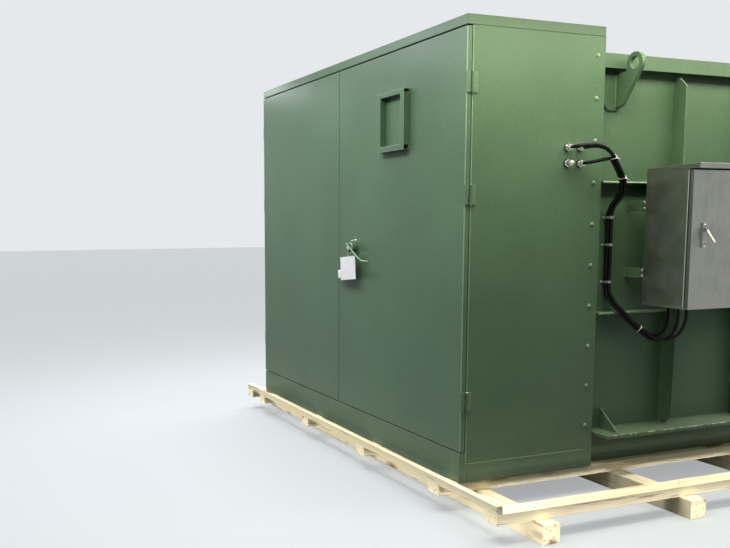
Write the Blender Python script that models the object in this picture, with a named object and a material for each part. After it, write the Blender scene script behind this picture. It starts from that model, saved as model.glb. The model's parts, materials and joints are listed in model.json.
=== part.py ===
"""Pad-mounted power transformer on the timber pallet that it is shipped on.

The front is a terminal cabinet with two doors, and the oil tank stands behind it.
Metres, +Z up, doors facing -Y, origin on the floor under the middle of the pallet.
"""
import math

import bpy
import bmesh
from mathutils import Matrix, Vector

# Gaps and allowances
seat_gap = 0.0003          # between pieces that touch
door_gap = 0.006           # round every door
cut_overrun = 0.010        # how far a cutter runs past the face it cuts
weld_overlap = 0.003       # how far a welded piece is let into its carrier

# Pallet timber
runner_length = 3.216
runner_width = 0.092
runner_height = 0.088
runner_count = 4
runner_pitch = 0.835
beam_width = 0.092
beam_height = 0.050
beam_pitch = 0.765
beam_end_overhang = 0.190  # beam past the first and the last runner
runner_end_overhang = 0.066
strip_width = 0.032
strip_height = 0.038

# Place of the transformer on the pallet
side_margin = 0.508        # cabinet's right side to the right end of the runners
front_margin = 0.105       # cabinet's front to the front end of the beams
beam_inset = 0.012         # first carrying beam in from the cabinet's right side

# Terminal cabinet
cabinet_width = 2.550
cabinet_depth = 0.780
cabinet_height = 2.100
hood_height = 0.047
sill_height = 0.145
sheet = 0.004
flange_depth = 0.025
side_return = 0.040
seam_offset = 0.036        # seam between the doors, left of the middle
front_plate = 0.010

# Cabinet hinges
hinge_height = 0.092
hinge_leaf = 0.004
hinge_leaf_reach = 0.029   # from the middle of the gap to a leaf's far edge
knuckle_radius = 0.0075
knuckle_standoff = 0.009   # hinge axis out from the side face
knuckle_clearance = 0.0004 # half the gap between two knuckles of a hinge
leaf_clearance = 0.001     # leaf to the other leaf's knuckle
hinge_heights = (0.390, 1.350, 1.850)

# Oil tank
tank_depth = 1.500
tank_inset = 0.060         # tank wall in from the cabinet's side
tank_plate = 0.010
cover_top = 2.028
cover_plate = 0.008
cover_skirt = 0.070
cover_rear_overhang = 0.060
rib_reach = 0.085
rib_plate = 0.012
rib_bay = 0.500
rib_top = 1.940
rib_chamfer = 0.045
rail_reach = 0.045
rail_plate = 0.012
rail_heights = (0.768, 1.416)
rail_end_clearance = 0.025

# Lifting lugs
lug_plate = 0.022
lug_setback = 0.125
lug_eye_reach = 0.127      # from the tank wall to the middle of the eye
lug_eye_height = 1.978
lug_ring_radius = 0.051
lug_hole_radius = 0.029
lug_foot_height = 1.772
lug_foot_reach = 0.055
lug_foot_rise = 0.014
lug_top_clearance = 0.014
lug_pad_plate = 0.010
lug_pad_forward = 0.080    # from the middle of the lug's plate to the pad's front edge
lug_pad_back = 0.036
lug_pad_chamfer = 0.026
lug_pad_drop = 0.006       # pad below the foot of the lug

# Jacking shelves
shelf_reach = 0.160
shelf_plate = 0.018
shelf_height = 0.155
shelf_setback = 0.010
gusset_plate = 0.012
gusset_height = 0.105
gusset_reach = 0.145
gusset_setback = 0.081

# Radiators on the back of the tank
radiator_gap = 0.080
radiator_fins = 10         # an even number, so that the stubs pass between two fins
fin_pitch = 0.078
fin_thickness = 0.012
fin_depth = 0.300
fin_height = 1.500
fin_bottom = 0.250
header_radius = 0.045
header_inset = 0.100       # header's middle in from a fin's end
stub_radius = 0.030
radiator_middle_gap = 0.140
pipe_sides = 16

# Door handle and what is on the right door
handle_from_seam = 0.227
handle_height = 1.085
hub_radius = 0.025
hub_length = 0.054
rod_radius = 0.005
rod_start_back = 0.013     # rod's short end, behind and above the middle of the hub
rod_start_rise = 0.024
rod_elbow_run = 0.123
rod_elbow_drop = 0.047
rod_bend_run = 0.067       # from the start of the bend to its end
rod_bend_drop = 0.022
rod_grip = 0.071
tag_width = 0.190
tag_height = 0.132
tag_plate = 0.001
tag_from_door = 0.040
tag_hang = 0.053           # top edge of the card below the middle of the hub
tag_swing = 0.032          # middle of the card's top edge to the left of the hub
tag_turn = 5               # degrees that the card hangs out of level
wire_radius = 0.0012
wire_play = 0.0006         # between the wire and the hub
frame_width = 0.280
frame_height = 0.300
frame_depth = 0.035
frame_top_bar = 0.022
frame_bottom_bar = 0.027
frame_post = 0.035
frame_sheet = 0.003
frame_from_side = 0.500
frame_bottom = 1.590

# Cable glands on the right side panel
gland_pitch = 0.074
gland_from_rear = 0.138    # rear column of glands to the panel's rear edge
gland_low_height = 1.502
nut_radius = 0.018
nut_length = 0.010
gland_radius = 0.0135
gland_length = 0.022
gland_lip_radius = 0.0115
gland_lip_length = 0.008

# Control box on the right side of the tank
box_width = 0.500
box_depth = 0.260
box_height = 0.652
box_sheet = 0.003
box_bottom = 0.814
box_setback = 0.220        # box's near side behind the tank's front
box_standoff = 0.130       # box's back to the tank wall
box_door_depth = 0.020
box_roof_overhang = 0.034
box_roof_front = 0.024
box_roof_back = 0.012
box_hinge_height = 0.060
box_hinge_leaf = 0.003
box_hinge_reach = 0.018
box_knuckle_radius = 0.0055
box_knuckle_standoff = 0.0065
box_hinge_place_shares = (0.15, 0.85)
bracket_height = 0.050
bracket_plate = 0.005
bracket_heights = (0.945, 1.277)
lever_from_edge = 0.075
lever_height = 1.188
lever_plate_width = 0.028
lever_plate_height = 0.115
lever_plate_depth = 0.008
lever_plate_drop = 0.085
lever_radius = 0.006
lever_hub_radius = 0.010
lever_hub_length = 0.016
lever_lift = 0.050
lever_drop = 0.062

# Conduits between the glands and the control box
conduit_radius = 0.0085
conduit_step = 0.034       # spacing of the points along a conduit
conduit_spacing = 0.018    # between the middles of neighbours in the bundle
conduit_lead = 0.012       # straight stretch at each end of a conduit
clip_heights = (0.925, 1.110, 1.245)
clip_width = 0.012
clip_strap = 0.002
clip_play = 0.0012         # between a conduit and the strap
clip_tab = 0.012

# Places worked out from the sizes above
beam_length = 2 * beam_end_overhang + runner_width + (runner_count - 1) * runner_pitch
beam_front = -beam_length / 2
deck_top = runner_height + seat_gap + beam_height
base = deck_top + seat_gap
right = runner_length / 2 - side_margin
left = right - cabinet_width
front = beam_front + front_margin
cabinet_back = front + cabinet_depth
hood_bottom = base + cabinet_height
hinge_y = front + flange_depth + door_gap / 2
panel_front = front + flange_depth + door_gap
seam = (left + right) / 2 - seam_offset
tank_right = right - tank_inset
tank_left = left + tank_inset
tank_back = cabinet_back + tank_depth
wall_top = base + cover_top - cover_plate - seat_gap
wall_bottom = base + tank_plate + seat_gap
shelf_top = base + shelf_height + shelf_plate
box_back = tank_right + box_standoff
box_front = box_back + box_depth
box_near = cabinet_back + box_setback
box_far = box_near + box_width
box_low = base + box_bottom
box_high = box_low + box_height
box_axis_x = box_front + door_gap / 2
handle_x = seam + handle_from_seam
handle_z = base + handle_height
lever_y = box_near + lever_from_edge
lever_z = base + lever_height
lever_x = box_front + door_gap + box_door_depth


def clear_scene():
    for thing in list(bpy.data.objects):
        bpy.data.objects.remove(thing, do_unlink=True)


def make_finish(name, colour, roughness, metallic):
    finish = bpy.data.materials.new(name)
    finish.use_nodes = True
    shader = finish.node_tree.nodes["Principled BSDF"]
    shader.inputs["Base Color"].default_value = (*colour, 1)
    shader.inputs["Roughness"].default_value = roughness
    shader.inputs["Metallic"].default_value = metallic
    finish.diffuse_color = (*colour, 1)
    return finish


def make_empty(name, place, parent=None):
    """Joint axis: what moves is parented to it."""
    empty = bpy.data.objects.new(name, None)
    bpy.context.scene.collection.objects.link(empty)
    empty.parent = parent
    empty.location = Vector(place) - (parent.matrix_world.translation if parent else Vector())
    bpy.context.view_layer.update()
    return empty


def add_piece(name, bm, finish, parent=None):
    """Turns world-space geometry into an object placed at its own middle."""
    bmesh.ops.recalc_face_normals(bm, faces=bm.faces)
    middle = sum((v.co for v in bm.verts), Vector()) / len(bm.verts)
    bmesh.ops.translate(bm, verts=bm.verts, vec=-middle)
    mesh = bpy.data.meshes.new(name)
    bm.to_mesh(mesh)
    bm.free()
    mesh.materials.append(finish)
    piece = bpy.data.objects.new(name, mesh)
    bpy.context.scene.collection.objects.link(piece)
    piece.parent = parent
    piece.location = middle - (parent.matrix_world.translation if parent else Vector())
    return piece


def box_geometry(low, high):
    bm = bmesh.new()
    low, high = Vector(low), Vector(high)
    size = Matrix.Diagonal((*(high - low), 1))
    bmesh.ops.create_cube(bm, size=1, matrix=Matrix.Translation((low + high) / 2) @ size)
    return bm


def add_box(name, low, high, finish, parent=None):
    return add_piece(name, box_geometry(low, high), finish, parent)


def push_face(bm, face, step, keep=False):
    """Extrudes a face, moves the new one by step and returns it."""
    grown = bmesh.ops.extrude_face_region(bm, geom=[face])["geom"]
    if not keep:
        bmesh.ops.delete(bm, geom=[face], context="FACES")
    moved = [part for part in grown if isinstance(part, bmesh.types.BMVert)]
    bmesh.ops.translate(bm, verts=moved, vec=step)
    return next(part for part in grown if isinstance(part, bmesh.types.BMFace))


def add_tray(name, low, high, way, wall, finish, parent=None):
    """Box of sheet, open on the side that way points to."""
    bm = box_geometry(low, high)
    way = Vector(way)
    depth = abs((Vector(high) - Vector(low)).dot(way))
    mouth = max(bm.faces, key=lambda face: face.calc_center_median().dot(way))
    bmesh.ops.inset_region(bm, faces=[mouth], thickness=wall, use_even_offset=True)
    push_face(bm, mouth, -way * (depth - wall))
    return add_piece(name, bm, finish, parent)


def lift_point(point, axis, level):
    """Puts an outline point into space, on the plane at that level of an axis."""
    a, b = point
    return {"x": (level, a, b), "y": (a, level, b), "z": (a, b, level)}[axis]


def add_prism(name, outline, axis, start, end, finish, parent=None):
    """Extrudes a flat outline along an axis."""
    bm = bmesh.new()
    face = bm.faces.new([bm.verts.new(lift_point(point, axis, start)) for point in outline])
    push_face(bm, face, lift_point((0, 0), axis, end - start), keep=True)
    return add_piece(name, bm, finish, parent)


def turn_to(way):
    return Vector(way).to_track_quat("Z", "Y").to_matrix().to_4x4()


def add_turned(name, start, way, steps, finish, parent=None, sides=pipe_sides):
    """Stack of round steps, each a radius and a length, from start along way."""
    bm = bmesh.new()
    bmesh.ops.create_circle(bm, cap_ends=True, radius=steps[0][0], segments=sides)
    face = bm.faces[:][0]
    for index, (radius, length) in enumerate(steps):
        if index:
            face = push_face(bm, face, (0, 0, 0))
            scale = radius / steps[index - 1][0]
            bmesh.ops.scale(bm, verts=face.verts, vec=(scale, scale, 1))
        face = push_face(bm, face, (0, 0, length), keep=not index)
    bmesh.ops.transform(bm, verts=bm.verts, matrix=Matrix.Translation(start) @ turn_to(way))
    piece = add_piece(name, bm, finish, parent)
    piece.data.shade_smooth()
    piece.data.set_sharp_from_angle(angle=math.radians(sharp_angle))
    return piece


sharp_angle = 35


def combine(piece, others, operation="UNION"):
    """Joins others to a piece, or cuts them from it, and keeps only the result."""
    for other in others:
        change = piece.modifiers.new(operation.title(), "BOOLEAN")
        change.operation = operation
        change.solver = "EXACT"
        change.object = other
    bpy.context.view_layer.update()
    shaped = piece.evaluated_get(bpy.context.evaluated_depsgraph_get())
    old = piece.data
    result = bpy.data.meshes.new_from_object(shaped)
    piece.modifiers.clear()
    piece.data = result
    result.name = piece.name
    bpy.data.meshes.remove(old)
    for other in others:
        bpy.data.objects.remove(other, do_unlink=True)
    return piece


def arc(middle, radius, start, end, steps):
    """Points of an arc, with angles in degrees."""
    turns = [math.radians(start + (end - start) * i / steps) for i in range(steps + 1)]
    return [(middle[0] + radius * math.cos(t), middle[1] + radius * math.sin(t)) for t in turns]


# Pallet

def build_pallet(timber):
    half = runner_length / 2
    for index in range(runner_count):
        near = beam_front + beam_end_overhang + index * runner_pitch
        add_box(f"runner_{index + 1}", (-half, near, 0), (half, near + runner_width, runner_height), timber)
    outer = half - runner_end_overhang - beam_width
    carried = [right - beam_inset - beam_width - index * beam_pitch for index in range(runner_count)]
    for index, edge in enumerate([outer, *carried, -outer - beam_width]):
        low = (edge, beam_front, runner_height + seat_gap)
        add_box(f"skid_beam_{index + 1}", low, (edge + beam_width, -beam_front, deck_top), timber)
    edge = outer + beam_width
    add_box("front_strip", (-edge, beam_front, deck_top + seat_gap),
            (edge, beam_front + strip_width, deck_top + seat_gap + strip_height), timber)


# Tank

def side_rib(y, side, paint):
    """Upright stiffener, chamfered at its outer corners."""
    wall = tank_right if side > 0 else tank_left
    root, tip = wall - side * weld_overlap, wall + side * rib_reach
    shoulder = tip - side * rib_chamfer
    low, high = shelf_top + seat_gap, base + rib_top
    outline = [(root, low), (shoulder, low), (tip, low + rib_chamfer),
               (tip, high - rib_chamfer), (shoulder, high), (root, high)]
    return add_prism("rib", outline, "y", y - rib_plate / 2, y + rib_plate / 2, paint)


def side_rail(height, side, paint):
    wall = tank_right if side > 0 else tank_left
    xs = sorted((wall - side * weld_overlap, wall + side * rail_reach))
    low = base + height - rail_plate / 2
    return add_box("rail", (xs[0], cabinet_back + rail_end_clearance, low),
                   (xs[1], tank_back - rail_end_clearance, low + rail_plate), paint)


def build_tank_side(name, side, paint):
    wall = tank_right if side > 0 else tank_left
    xs = sorted((wall, wall - side * tank_plate))
    piece = add_box(name, (xs[0], cabinet_back + seat_gap, wall_bottom),
                    (xs[1], tank_back, wall_top), paint)
    ribs = [side_rib(cabinet_back + rib_bay * n, side, paint) for n in (1, 2)]
    rails = [side_rail(height, side, paint) for height in rail_heights]
    return combine(piece, ribs + rails)


def build_cover(paint):
    """Flat lid whose skirt turns down at the sides and the back, open to the cabinet."""
    top = base + cover_top
    lid = add_box("tank_cover", (left, cabinet_back + seat_gap, top - cover_skirt),
                  (right, tank_back + cover_rear_overhang, top), paint)
    pocket_rear = tank_back + cover_rear_overhang - cover_plate
    pocket_low = top - cover_skirt - cut_overrun
    pocket = add_box("pocket", (left + cover_plate, cabinet_back - cut_overrun, pocket_low),
                     (right - cover_plate, pocket_rear, top - cover_plate), paint)
    return combine(lid, [pocket], "DIFFERENCE")


def build_tank(paint):
    inner_left, inner_right = tank_left + tank_plate + seat_gap, tank_right - tank_plate - seat_gap
    add_box("tank_floor", (tank_left, cabinet_back + seat_gap, base),
            (tank_right, tank_back, base + tank_plate), paint)
    add_box("tank_wall_front", (left + sheet + seat_gap, cabinet_back - front_plate, base),
            (right - sheet - seat_gap, cabinet_back, hood_bottom - seat_gap), paint)
    add_box("tank_wall_rear", (inner_left, tank_back - tank_plate, wall_bottom),
            (inner_right, tank_back, wall_top), paint)
    build_tank_side("tank_wall_right", 1, paint)
    build_tank_side("tank_wall_left", -1, paint)
    build_cover(paint)


def lug_pad(side, y, paint):
    """Pad between a lug and the tank wall, with its lower corners cut off."""
    wall = (tank_right if side > 0 else tank_left) + side * seat_gap
    low = base + lug_foot_height - lug_pad_drop
    top = base + cover_top - cover_skirt - lug_top_clearance
    front_edge, back_edge = y - lug_pad_forward, y + lug_pad_back
    outline = [(front_edge, top), (front_edge, low + lug_pad_chamfer), (front_edge + lug_pad_chamfer, low),
               (back_edge - lug_pad_chamfer, low), (back_edge, low + lug_pad_chamfer), (back_edge, top)]
    return add_prism("lug_pad", outline, "x", wall, wall + side * lug_pad_plate, paint)


def build_lug(name, side, y, paint):
    """Lifting lug: a plate from under the cover's skirt, out and up to a round eye."""
    wall = (tank_right if side > 0 else tank_left) + side * seat_gap
    eye = (lug_eye_reach, base + lug_eye_height)
    shoulder = base + cover_top - cover_skirt - lug_top_clearance
    foot = base + lug_foot_height
    ring = arc(eye, lug_ring_radius, -40, 180, 16)
    profile = [(0, foot), (lug_foot_reach, foot + lug_foot_rise), *ring,
               (lug_eye_reach - lug_ring_radius, shoulder), (0, shoulder)]
    outline = [(wall + side * out, z) for out, z in profile]
    plate = add_prism(name, outline, "y", y - lug_plate / 2, y + lug_plate / 2, paint)
    start = (wall + side * eye[0], y - lug_plate / 2 - cut_overrun, eye[1])
    hole = add_turned("hole", start, (0, 1, 0), [(lug_hole_radius, lug_plate + 2 * cut_overrun)], paint)
    return combine(combine(plate, [hole], "DIFFERENCE"), [lug_pad(side, y, paint)])


def build_jacking_shelf(name, side, paint):
    """Shelf along the foot of the tank that the jacks lift under, with a gusset near each end."""
    wall = (tank_right if side > 0 else tank_left) + side * seat_gap
    start, end = cabinet_back + shelf_setback, tank_back - shelf_setback
    xs = sorted((wall, wall + side * shelf_reach))
    shelf = add_box(name, (xs[0], start, shelf_top - shelf_plate), (xs[1], end, shelf_top), paint)
    foot = shelf_top - weld_overlap
    outline = [(wall, foot), (wall + side * gusset_reach, foot),
               (wall + side * gusset_plate, shelf_top + gusset_height), (wall, shelf_top + gusset_height)]
    gussets = [add_prism("gusset", outline, "y", y, y + gusset_plate, paint)
               for y in (start + gusset_setback, end - gusset_setback - gusset_plate)]
    return combine(shelf, gussets)


def build_tank_fittings(paint):
    for side, word in ((1, "right"), (-1, "left")):
        build_lug(f"lifting_lug_{word}_front", side, cabinet_back + lug_setback, paint)
        build_lug(f"lifting_lug_{word}_rear", side, tank_back - lug_setback, paint)
        build_jacking_shelf(f"jacking_shelf_{word}", side, paint)


# Radiators

def build_radiator(name, middle, paint):
    """Bank of flat fins between two headers, hung on the back wall by two stubs."""
    span = (radiator_fins - 1) * fin_pitch
    near = tank_back + radiator_gap
    header_y = near + fin_depth / 2
    low = base + fin_bottom
    levels = (low + header_inset, low + fin_height - header_inset)
    start = middle - span / 2 - fin_pitch / 2
    steps = [(header_radius, span + fin_pitch)]
    bank = add_turned(name, (start, header_y, levels[0]), (1, 0, 0), steps, paint)
    upper = add_turned("header", (start, header_y, levels[1]), (1, 0, 0), steps, paint)
    stubs = [add_turned("stub", (middle, tank_back + seat_gap, z), (0, 1, 0),
                        [(stub_radius, header_y - tank_back)], paint) for z in levels]
    fins = []
    for index in range(radiator_fins):
        x = middle - span / 2 + index * fin_pitch
        fins.append(add_box("fin", (x - fin_thickness / 2, near, low),
                            (x + fin_thickness / 2, near + fin_depth, low + fin_height), paint))
    return combine(bank, fins + [upper] + stubs)


def build_radiators(paint):
    bank_width = radiator_fins * fin_pitch
    offset = (bank_width + radiator_middle_gap) / 2
    middle = (left + right) / 2
    build_radiator("radiator_right", middle + offset, paint)
    build_radiator("radiator_left", middle - offset, paint)


# Hinges

def knuckle(axis, low, high, radius, finish, parent=None):
    return add_turned("knuckle", (*axis, low), (0, 0, 1), [(radius, high - low)], finish, parent)


def hinge_leaf_piece(face, away, span, low, high, plate, radius, sink, notched, finish, turned):
    """One leaf, flat on a face or let into it, stepped so that it meets only its own knuckles.

    face says which way it looks, where it lies and where the hinge line crosses it, away is
    the sign along the leaf, and notched says which thirds reach the line: the middle one or the ends.
    """
    outward, start, along = face
    third = (high - low) / 3
    near = along + away * (radius + leaf_clearance)
    reach = along + away * radius / 3
    far = along + away * span
    play = knuckle_clearance if notched == "middle" else -knuckle_clearance
    first, second = low + third + play, high - third - play
    if notched == "middle":
        outline = [(far, low), (near, low), (near, first), (reach, first),
                   (reach, second), (near, second), (near, high), (far, high)]
    else:
        outline = [(far, low), (reach, low), (reach, first), (near, first),
                   (near, second), (reach, second), (reach, high), (far, high)]
    ends = (start - outward * sink, start + outward * plate)
    return add_prism("leaf", outline, "y" if turned else "x", min(ends), max(ends), finish)


def hinge_halves(face, axis, height, middle, span, plate, radius, fixed_away, finish, turned=False,
                 fixed_sink=weld_overlap / 2):
    """Pieces of one hinge: those of the fixed half, then those of the moving half."""
    low, high = middle - height / 2, middle + height / 2
    third = height / 3
    shape = (span, low, high, plate, radius)
    fixed = [hinge_leaf_piece(face, fixed_away, *shape, fixed_sink, "ends", finish, turned),
             knuckle(axis, low, low + third - knuckle_clearance, radius, finish),
             knuckle(axis, high - third + knuckle_clearance, high, radius, finish)]
    moving = [hinge_leaf_piece(face, -fixed_away, *shape, weld_overlap / 2, "middle", finish, turned),
              knuckle(axis, low + third + knuckle_clearance, high - third - knuckle_clearance,
                      radius, finish)]
    return fixed, moving


def cabinet_hinges(side, paint):
    face_x = right if side > 0 else left
    axis = (face_x + side * knuckle_standoff, hinge_y)
    fixed, moving = [], []
    for height in hinge_heights:
        halves = hinge_halves((side, face_x, hinge_y), axis, hinge_height, base + height,
                              hinge_leaf_reach, hinge_leaf, knuckle_radius, 1, paint)
        fixed += halves[0]
        moving += halves[1]
    return axis, fixed, moving


# Cabinet

def build_side_panel(name, side, hinge_parts, paint):
    """Side sheet with its front edge folded inward."""
    face_x = right if side > 0 else left
    inner = face_x - side * sheet
    fold = face_x - side * side_return
    outline = [(face_x, panel_front), (face_x, cabinet_back), (inner, cabinet_back),
               (inner, panel_front + sheet), (fold, panel_front + sheet), (fold, panel_front)]
    panel = add_prism(name, outline, "z", base, hood_bottom - seat_gap, paint)
    return combine(panel, hinge_parts)


def build_door(name, side, hinge_parts, parent, paint):
    face_x = right if side > 0 else left
    edges = sorted((face_x, seam + side * door_gap / 2))
    low = (edges[0], front, base + sill_height + door_gap)
    high = (edges[1], front + flange_depth, hood_bottom - door_gap)
    door = add_tray(name, low, high, (0, 1, 0), sheet, paint, parent)
    return combine(door, hinge_parts)


def build_cabinet(paint):
    axis_right, fixed_right, moving_right = cabinet_hinges(1, paint)
    axis_left, fixed_left, moving_left = cabinet_hinges(-1, paint)
    build_side_panel("cabinet_side_right", 1, fixed_right, paint)
    build_side_panel("cabinet_side_left", -1, fixed_left, paint)
    add_tray("cabinet_hood", (left, front, hood_bottom), (right, cabinet_back, hood_bottom + hood_height),
             (0, 0, -1), sheet, paint)
    add_tray("cabinet_sill", (left, front, base), (right, panel_front - seat_gap, base + sill_height),
             (0, 1, 0), sheet, paint)
    hang_right = make_empty("door_right_hinge", (*axis_right, base + sill_height))
    hang_left = make_empty("door_left_hinge", (*axis_left, base + sill_height))
    build_door("door_right", 1, moving_right, hang_right, paint)
    build_door("door_left", -1, moving_left, hang_left, paint)
    return hang_right


# Fittings of the right door

def add_tube(name, points, radius, finish, parent=None):
    """Round bar or hose: a curve with a bevel and filled ends."""
    curve = bpy.data.curves.new(name, "CURVE")
    curve.dimensions = "3D"
    curve.bevel_depth = radius
    curve.bevel_resolution = tube_facets
    curve.use_fill_caps = True
    spline = curve.splines.new("POLY")
    spline.points.add(len(points) - 1)
    offset = parent.matrix_world.translation if parent else Vector()
    for point, place in zip(spline.points, points):
        point.co = (*(Vector(place) - offset), 1)
    curve.materials.append(finish)
    tube = bpy.data.objects.new(name, curve)
    bpy.context.scene.collection.objects.link(tube)
    tube.parent = parent
    return tube


tube_facets = 2


def smooth_route(points, step):
    """Evenly spaced points on a smooth curve through the route's points."""
    places = [Vector(point) for point in points]
    places = [2 * places[0] - places[1], *places, 2 * places[-1] - places[-2]]
    route = []
    for a, b, c, d in zip(places, places[1:], places[2:], places[3:]):
        count = max(1, round((c - b).length / step))
        for index in range(count):
            t = index / count
            route.append(0.5 * (2 * b + (c - a) * t + (2 * a - 5 * b + 4 * c - d) * t ** 2
                                + (3 * b - a - 3 * c + d) * t ** 3))
    return route + [places[-2]]


def build_handle(parent, steel, paint):
    """Turning handle: a hub on the door and a bent rod across its face."""
    hub = add_turned("handle_hub", (handle_x, front - seat_gap, handle_z), (0, -1, 0),
                     [(hub_radius, hub_length)], steel, parent)
    y = front - hub_length - 2 * seat_gap - rod_radius
    bend_x, bend_z = handle_x + rod_elbow_run, handle_z - rod_elbow_drop
    grip_x, grip_z = bend_x + rod_bend_run, bend_z - rod_bend_drop
    route = [(handle_x - rod_start_back, y, handle_z + rod_start_rise), (bend_x, y, bend_z),
             (grip_x, y, grip_z), (grip_x + rod_grip, y, grip_z)]
    rod = add_tube("handle_rod", smooth_route(route, rod_bend_run / 3), rod_radius, paint, parent)
    return hub, rod


def as_mesh(tube):
    """Swaps a curve for the mesh that it makes, so that a Boolean can use it."""
    bpy.context.view_layer.update()
    mesh = bpy.data.meshes.new_from_object(tube.evaluated_get(bpy.context.evaluated_depsgraph_get()))
    solid = bpy.data.objects.new(tube.name, mesh)
    bpy.context.scene.collection.objects.link(solid)
    bpy.data.objects.remove(tube, do_unlink=True)
    return solid


def build_tag(parent, paper):
    """Blank card on a wire that is looped round the hub."""
    face = front - tag_from_door
    top = (handle_x - tag_swing, handle_z - tag_hang)
    lean = math.radians(tag_turn)
    across, down = Vector((math.cos(lean), math.sin(lean))), Vector((math.sin(lean), -math.cos(lean)))
    corners = [Vector(top) + across * side * tag_width / 2 + down * drop
               for side, drop in ((-1, 0), (1, 0), (1, tag_height), (-1, tag_height))]
    card = add_prism("door_tag", [tuple(corner) for corner in corners], "y",
                     face - tag_plate / 2, face + tag_plate / 2, paper, parent)
    reach = hub_radius + wire_play + wire_radius
    aim = 180 + math.degrees(math.atan2(tag_hang, tag_swing))
    spread = math.degrees(math.acos(reach / math.hypot(tag_hang, tag_swing)))
    over = arc((handle_x, handle_z), reach, aim - spread, aim + spread - 360, 20)
    ties = [Vector(top) + down * weld_overlap + across * side * 2 * wire_radius for side in (-1, 1)]
    loop = [(x, face, z) for x, z in (ties[0], *over, ties[1])]
    wire = as_mesh(add_tube("wire", loop, wire_radius, paper))
    return combine(card, [wire])


def build_plate_frame(parent, paint):
    """Folded frame on the door: a window between two bars that are hollow and open at their ends."""
    x1 = right - frame_from_side
    x0 = x1 - frame_width
    z0 = base + frame_bottom
    z1 = z0 + frame_height
    back = front - seat_gap
    face = back - frame_depth
    frame = add_box("plate_frame", (x0, face, z0), (x1, back, z1), paint, parent)
    window = add_box("window", (x0 + frame_post, face - cut_overrun, z0 + frame_bottom_bar),
                     (x1 - frame_post, back + cut_overrun, z1 - frame_top_bar), paint)
    slots = []
    for low, high in ((z0, z0 + frame_bottom_bar), (z1 - frame_top_bar, z1)):
        slots.append(add_box("slot", (x0 - cut_overrun, face + frame_sheet, low + frame_sheet),
                             (x1 + cut_overrun, back - frame_sheet, high - frame_sheet), paint))
    return combine(frame, [window, *slots], "DIFFERENCE")


# Cable entry

def gland_places():
    rear = cabinet_back - gland_from_rear
    low = base + gland_low_height
    return [(rear, low), (rear, low + gland_pitch), (rear - gland_pitch, low + gland_pitch),
            (rear - gland_pitch, low)]


gland_reach = nut_length + gland_length + gland_lip_length


def build_glands(nickel):
    """Three glands that hold conduits, and a fourth that is plugged."""
    for index, (y, z) in enumerate(gland_places()):
        name = f"cable_gland_{index + 1}"
        start = (right + seat_gap, y, z)
        nut = add_turned(name, start, (1, 0, 0), [(nut_radius, nut_length)], nickel, sides=6)
        stem = (right + seat_gap + nut_length - weld_overlap, y, z)
        body = add_turned("body", stem, (1, 0, 0), [(gland_radius, gland_length + weld_overlap),
                                                    (gland_lip_radius, gland_lip_length)], nickel)
        combine(nut, [body])


# Control box

def build_control_box(steel):
    add_tray("control_box_shell", (box_back, box_near, box_low), (box_front, box_far, box_high), (1, 0, 0),
             box_sheet, steel)
    top = box_high + seat_gap
    tip = box_front + door_gap + box_door_depth + box_roof_overhang
    roof = [(box_back, top), (tip, top), (tip, top + box_roof_front), (box_back, top + box_roof_back)]
    add_prism("control_box_roof", roof, "y", box_near, box_far, steel)


def box_hinges(steel):
    """Fixed halves screwed to the shell, each its own piece, and the parts of the moving halves."""
    axis = (box_axis_x, box_far + box_knuckle_standoff)
    moving = []
    for index, share in enumerate(box_hinge_place_shares):
        halves = hinge_halves((1, box_far, box_axis_x), axis, box_hinge_height, box_low + share * box_height,
                              box_hinge_reach, box_hinge_leaf, box_knuckle_radius, -1, steel, turned=True,
                              fixed_sink=-seat_gap)
        leaf = combine(halves[0][0], halves[0][1:])
        leaf.name = leaf.data.name = f"control_box_hinge_{index + 1}"
        moving += halves[1]
    return axis, moving


def build_control_box_door(steel):
    axis, moving = box_hinges(steel)
    hang = make_empty("control_box_door_hinge", (*axis, box_low))
    low = (box_front + door_gap, box_near, box_low)
    high = (lever_x, box_far, box_high - door_gap)
    door = add_tray("control_box_door", low, high, (-1, 0, 0), box_sheet, steel, hang)
    half = lever_plate_width / 2
    plate = add_box("plate", (lever_x - weld_overlap / 2, lever_y - half, lever_z - lever_plate_drop),
                    (lever_x + lever_plate_depth, lever_y + half,
                     lever_z - lever_plate_drop + lever_plate_height), steel)
    combine(door, moving + [plate])
    return hang


def build_lever(parent, steel):
    """Swing lever, lifted off its plate: a hub and a bar that leans out and down."""
    face = lever_x + lever_plate_depth + seat_gap
    pivot = make_empty("control_box_lever_pivot", (face, lever_y, lever_z), parent)
    hub = add_turned("control_box_lever", (face, lever_y, lever_z), (1, 0, 0),
                     [(lever_hub_radius, lever_hub_length)], steel, pivot)
    start = Vector((face + lever_hub_length / 2, lever_y, lever_z))
    way = Vector((lever_lift, 0, -lever_drop))
    bar = add_turned("bar", start, way, [(lever_radius, way.length)], steel)
    return combine(hub, [bar])


def build_brackets(paint):
    """Two folded brackets that carry the box off the tank wall."""
    wall, back = tank_right + seat_gap, box_back - seat_gap
    near, far = box_near + bracket_plate, box_far - bracket_plate
    inner = back - bracket_plate
    for name, height in zip(("control_box_bracket_lower", "control_box_bracket_upper"), bracket_heights):
        outline = [(wall, near), (back, near), (back, far), (wall, far), (wall, far - bracket_plate),
                   (inner, far - bracket_plate), (inner, near + bracket_plate), (wall, near + bracket_plate)]
        add_prism(name, outline, "z", base + height, base + height + bracket_height, paint)


# Conduits. Points are out from the cabinet's side, back from its front and up from its base.
# Each conduit leaves its gland by its own points, runs in a three-cornered bundle along the
# bundle's middle line, and leaves it again for its own hole in the underside of the box.

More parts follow.
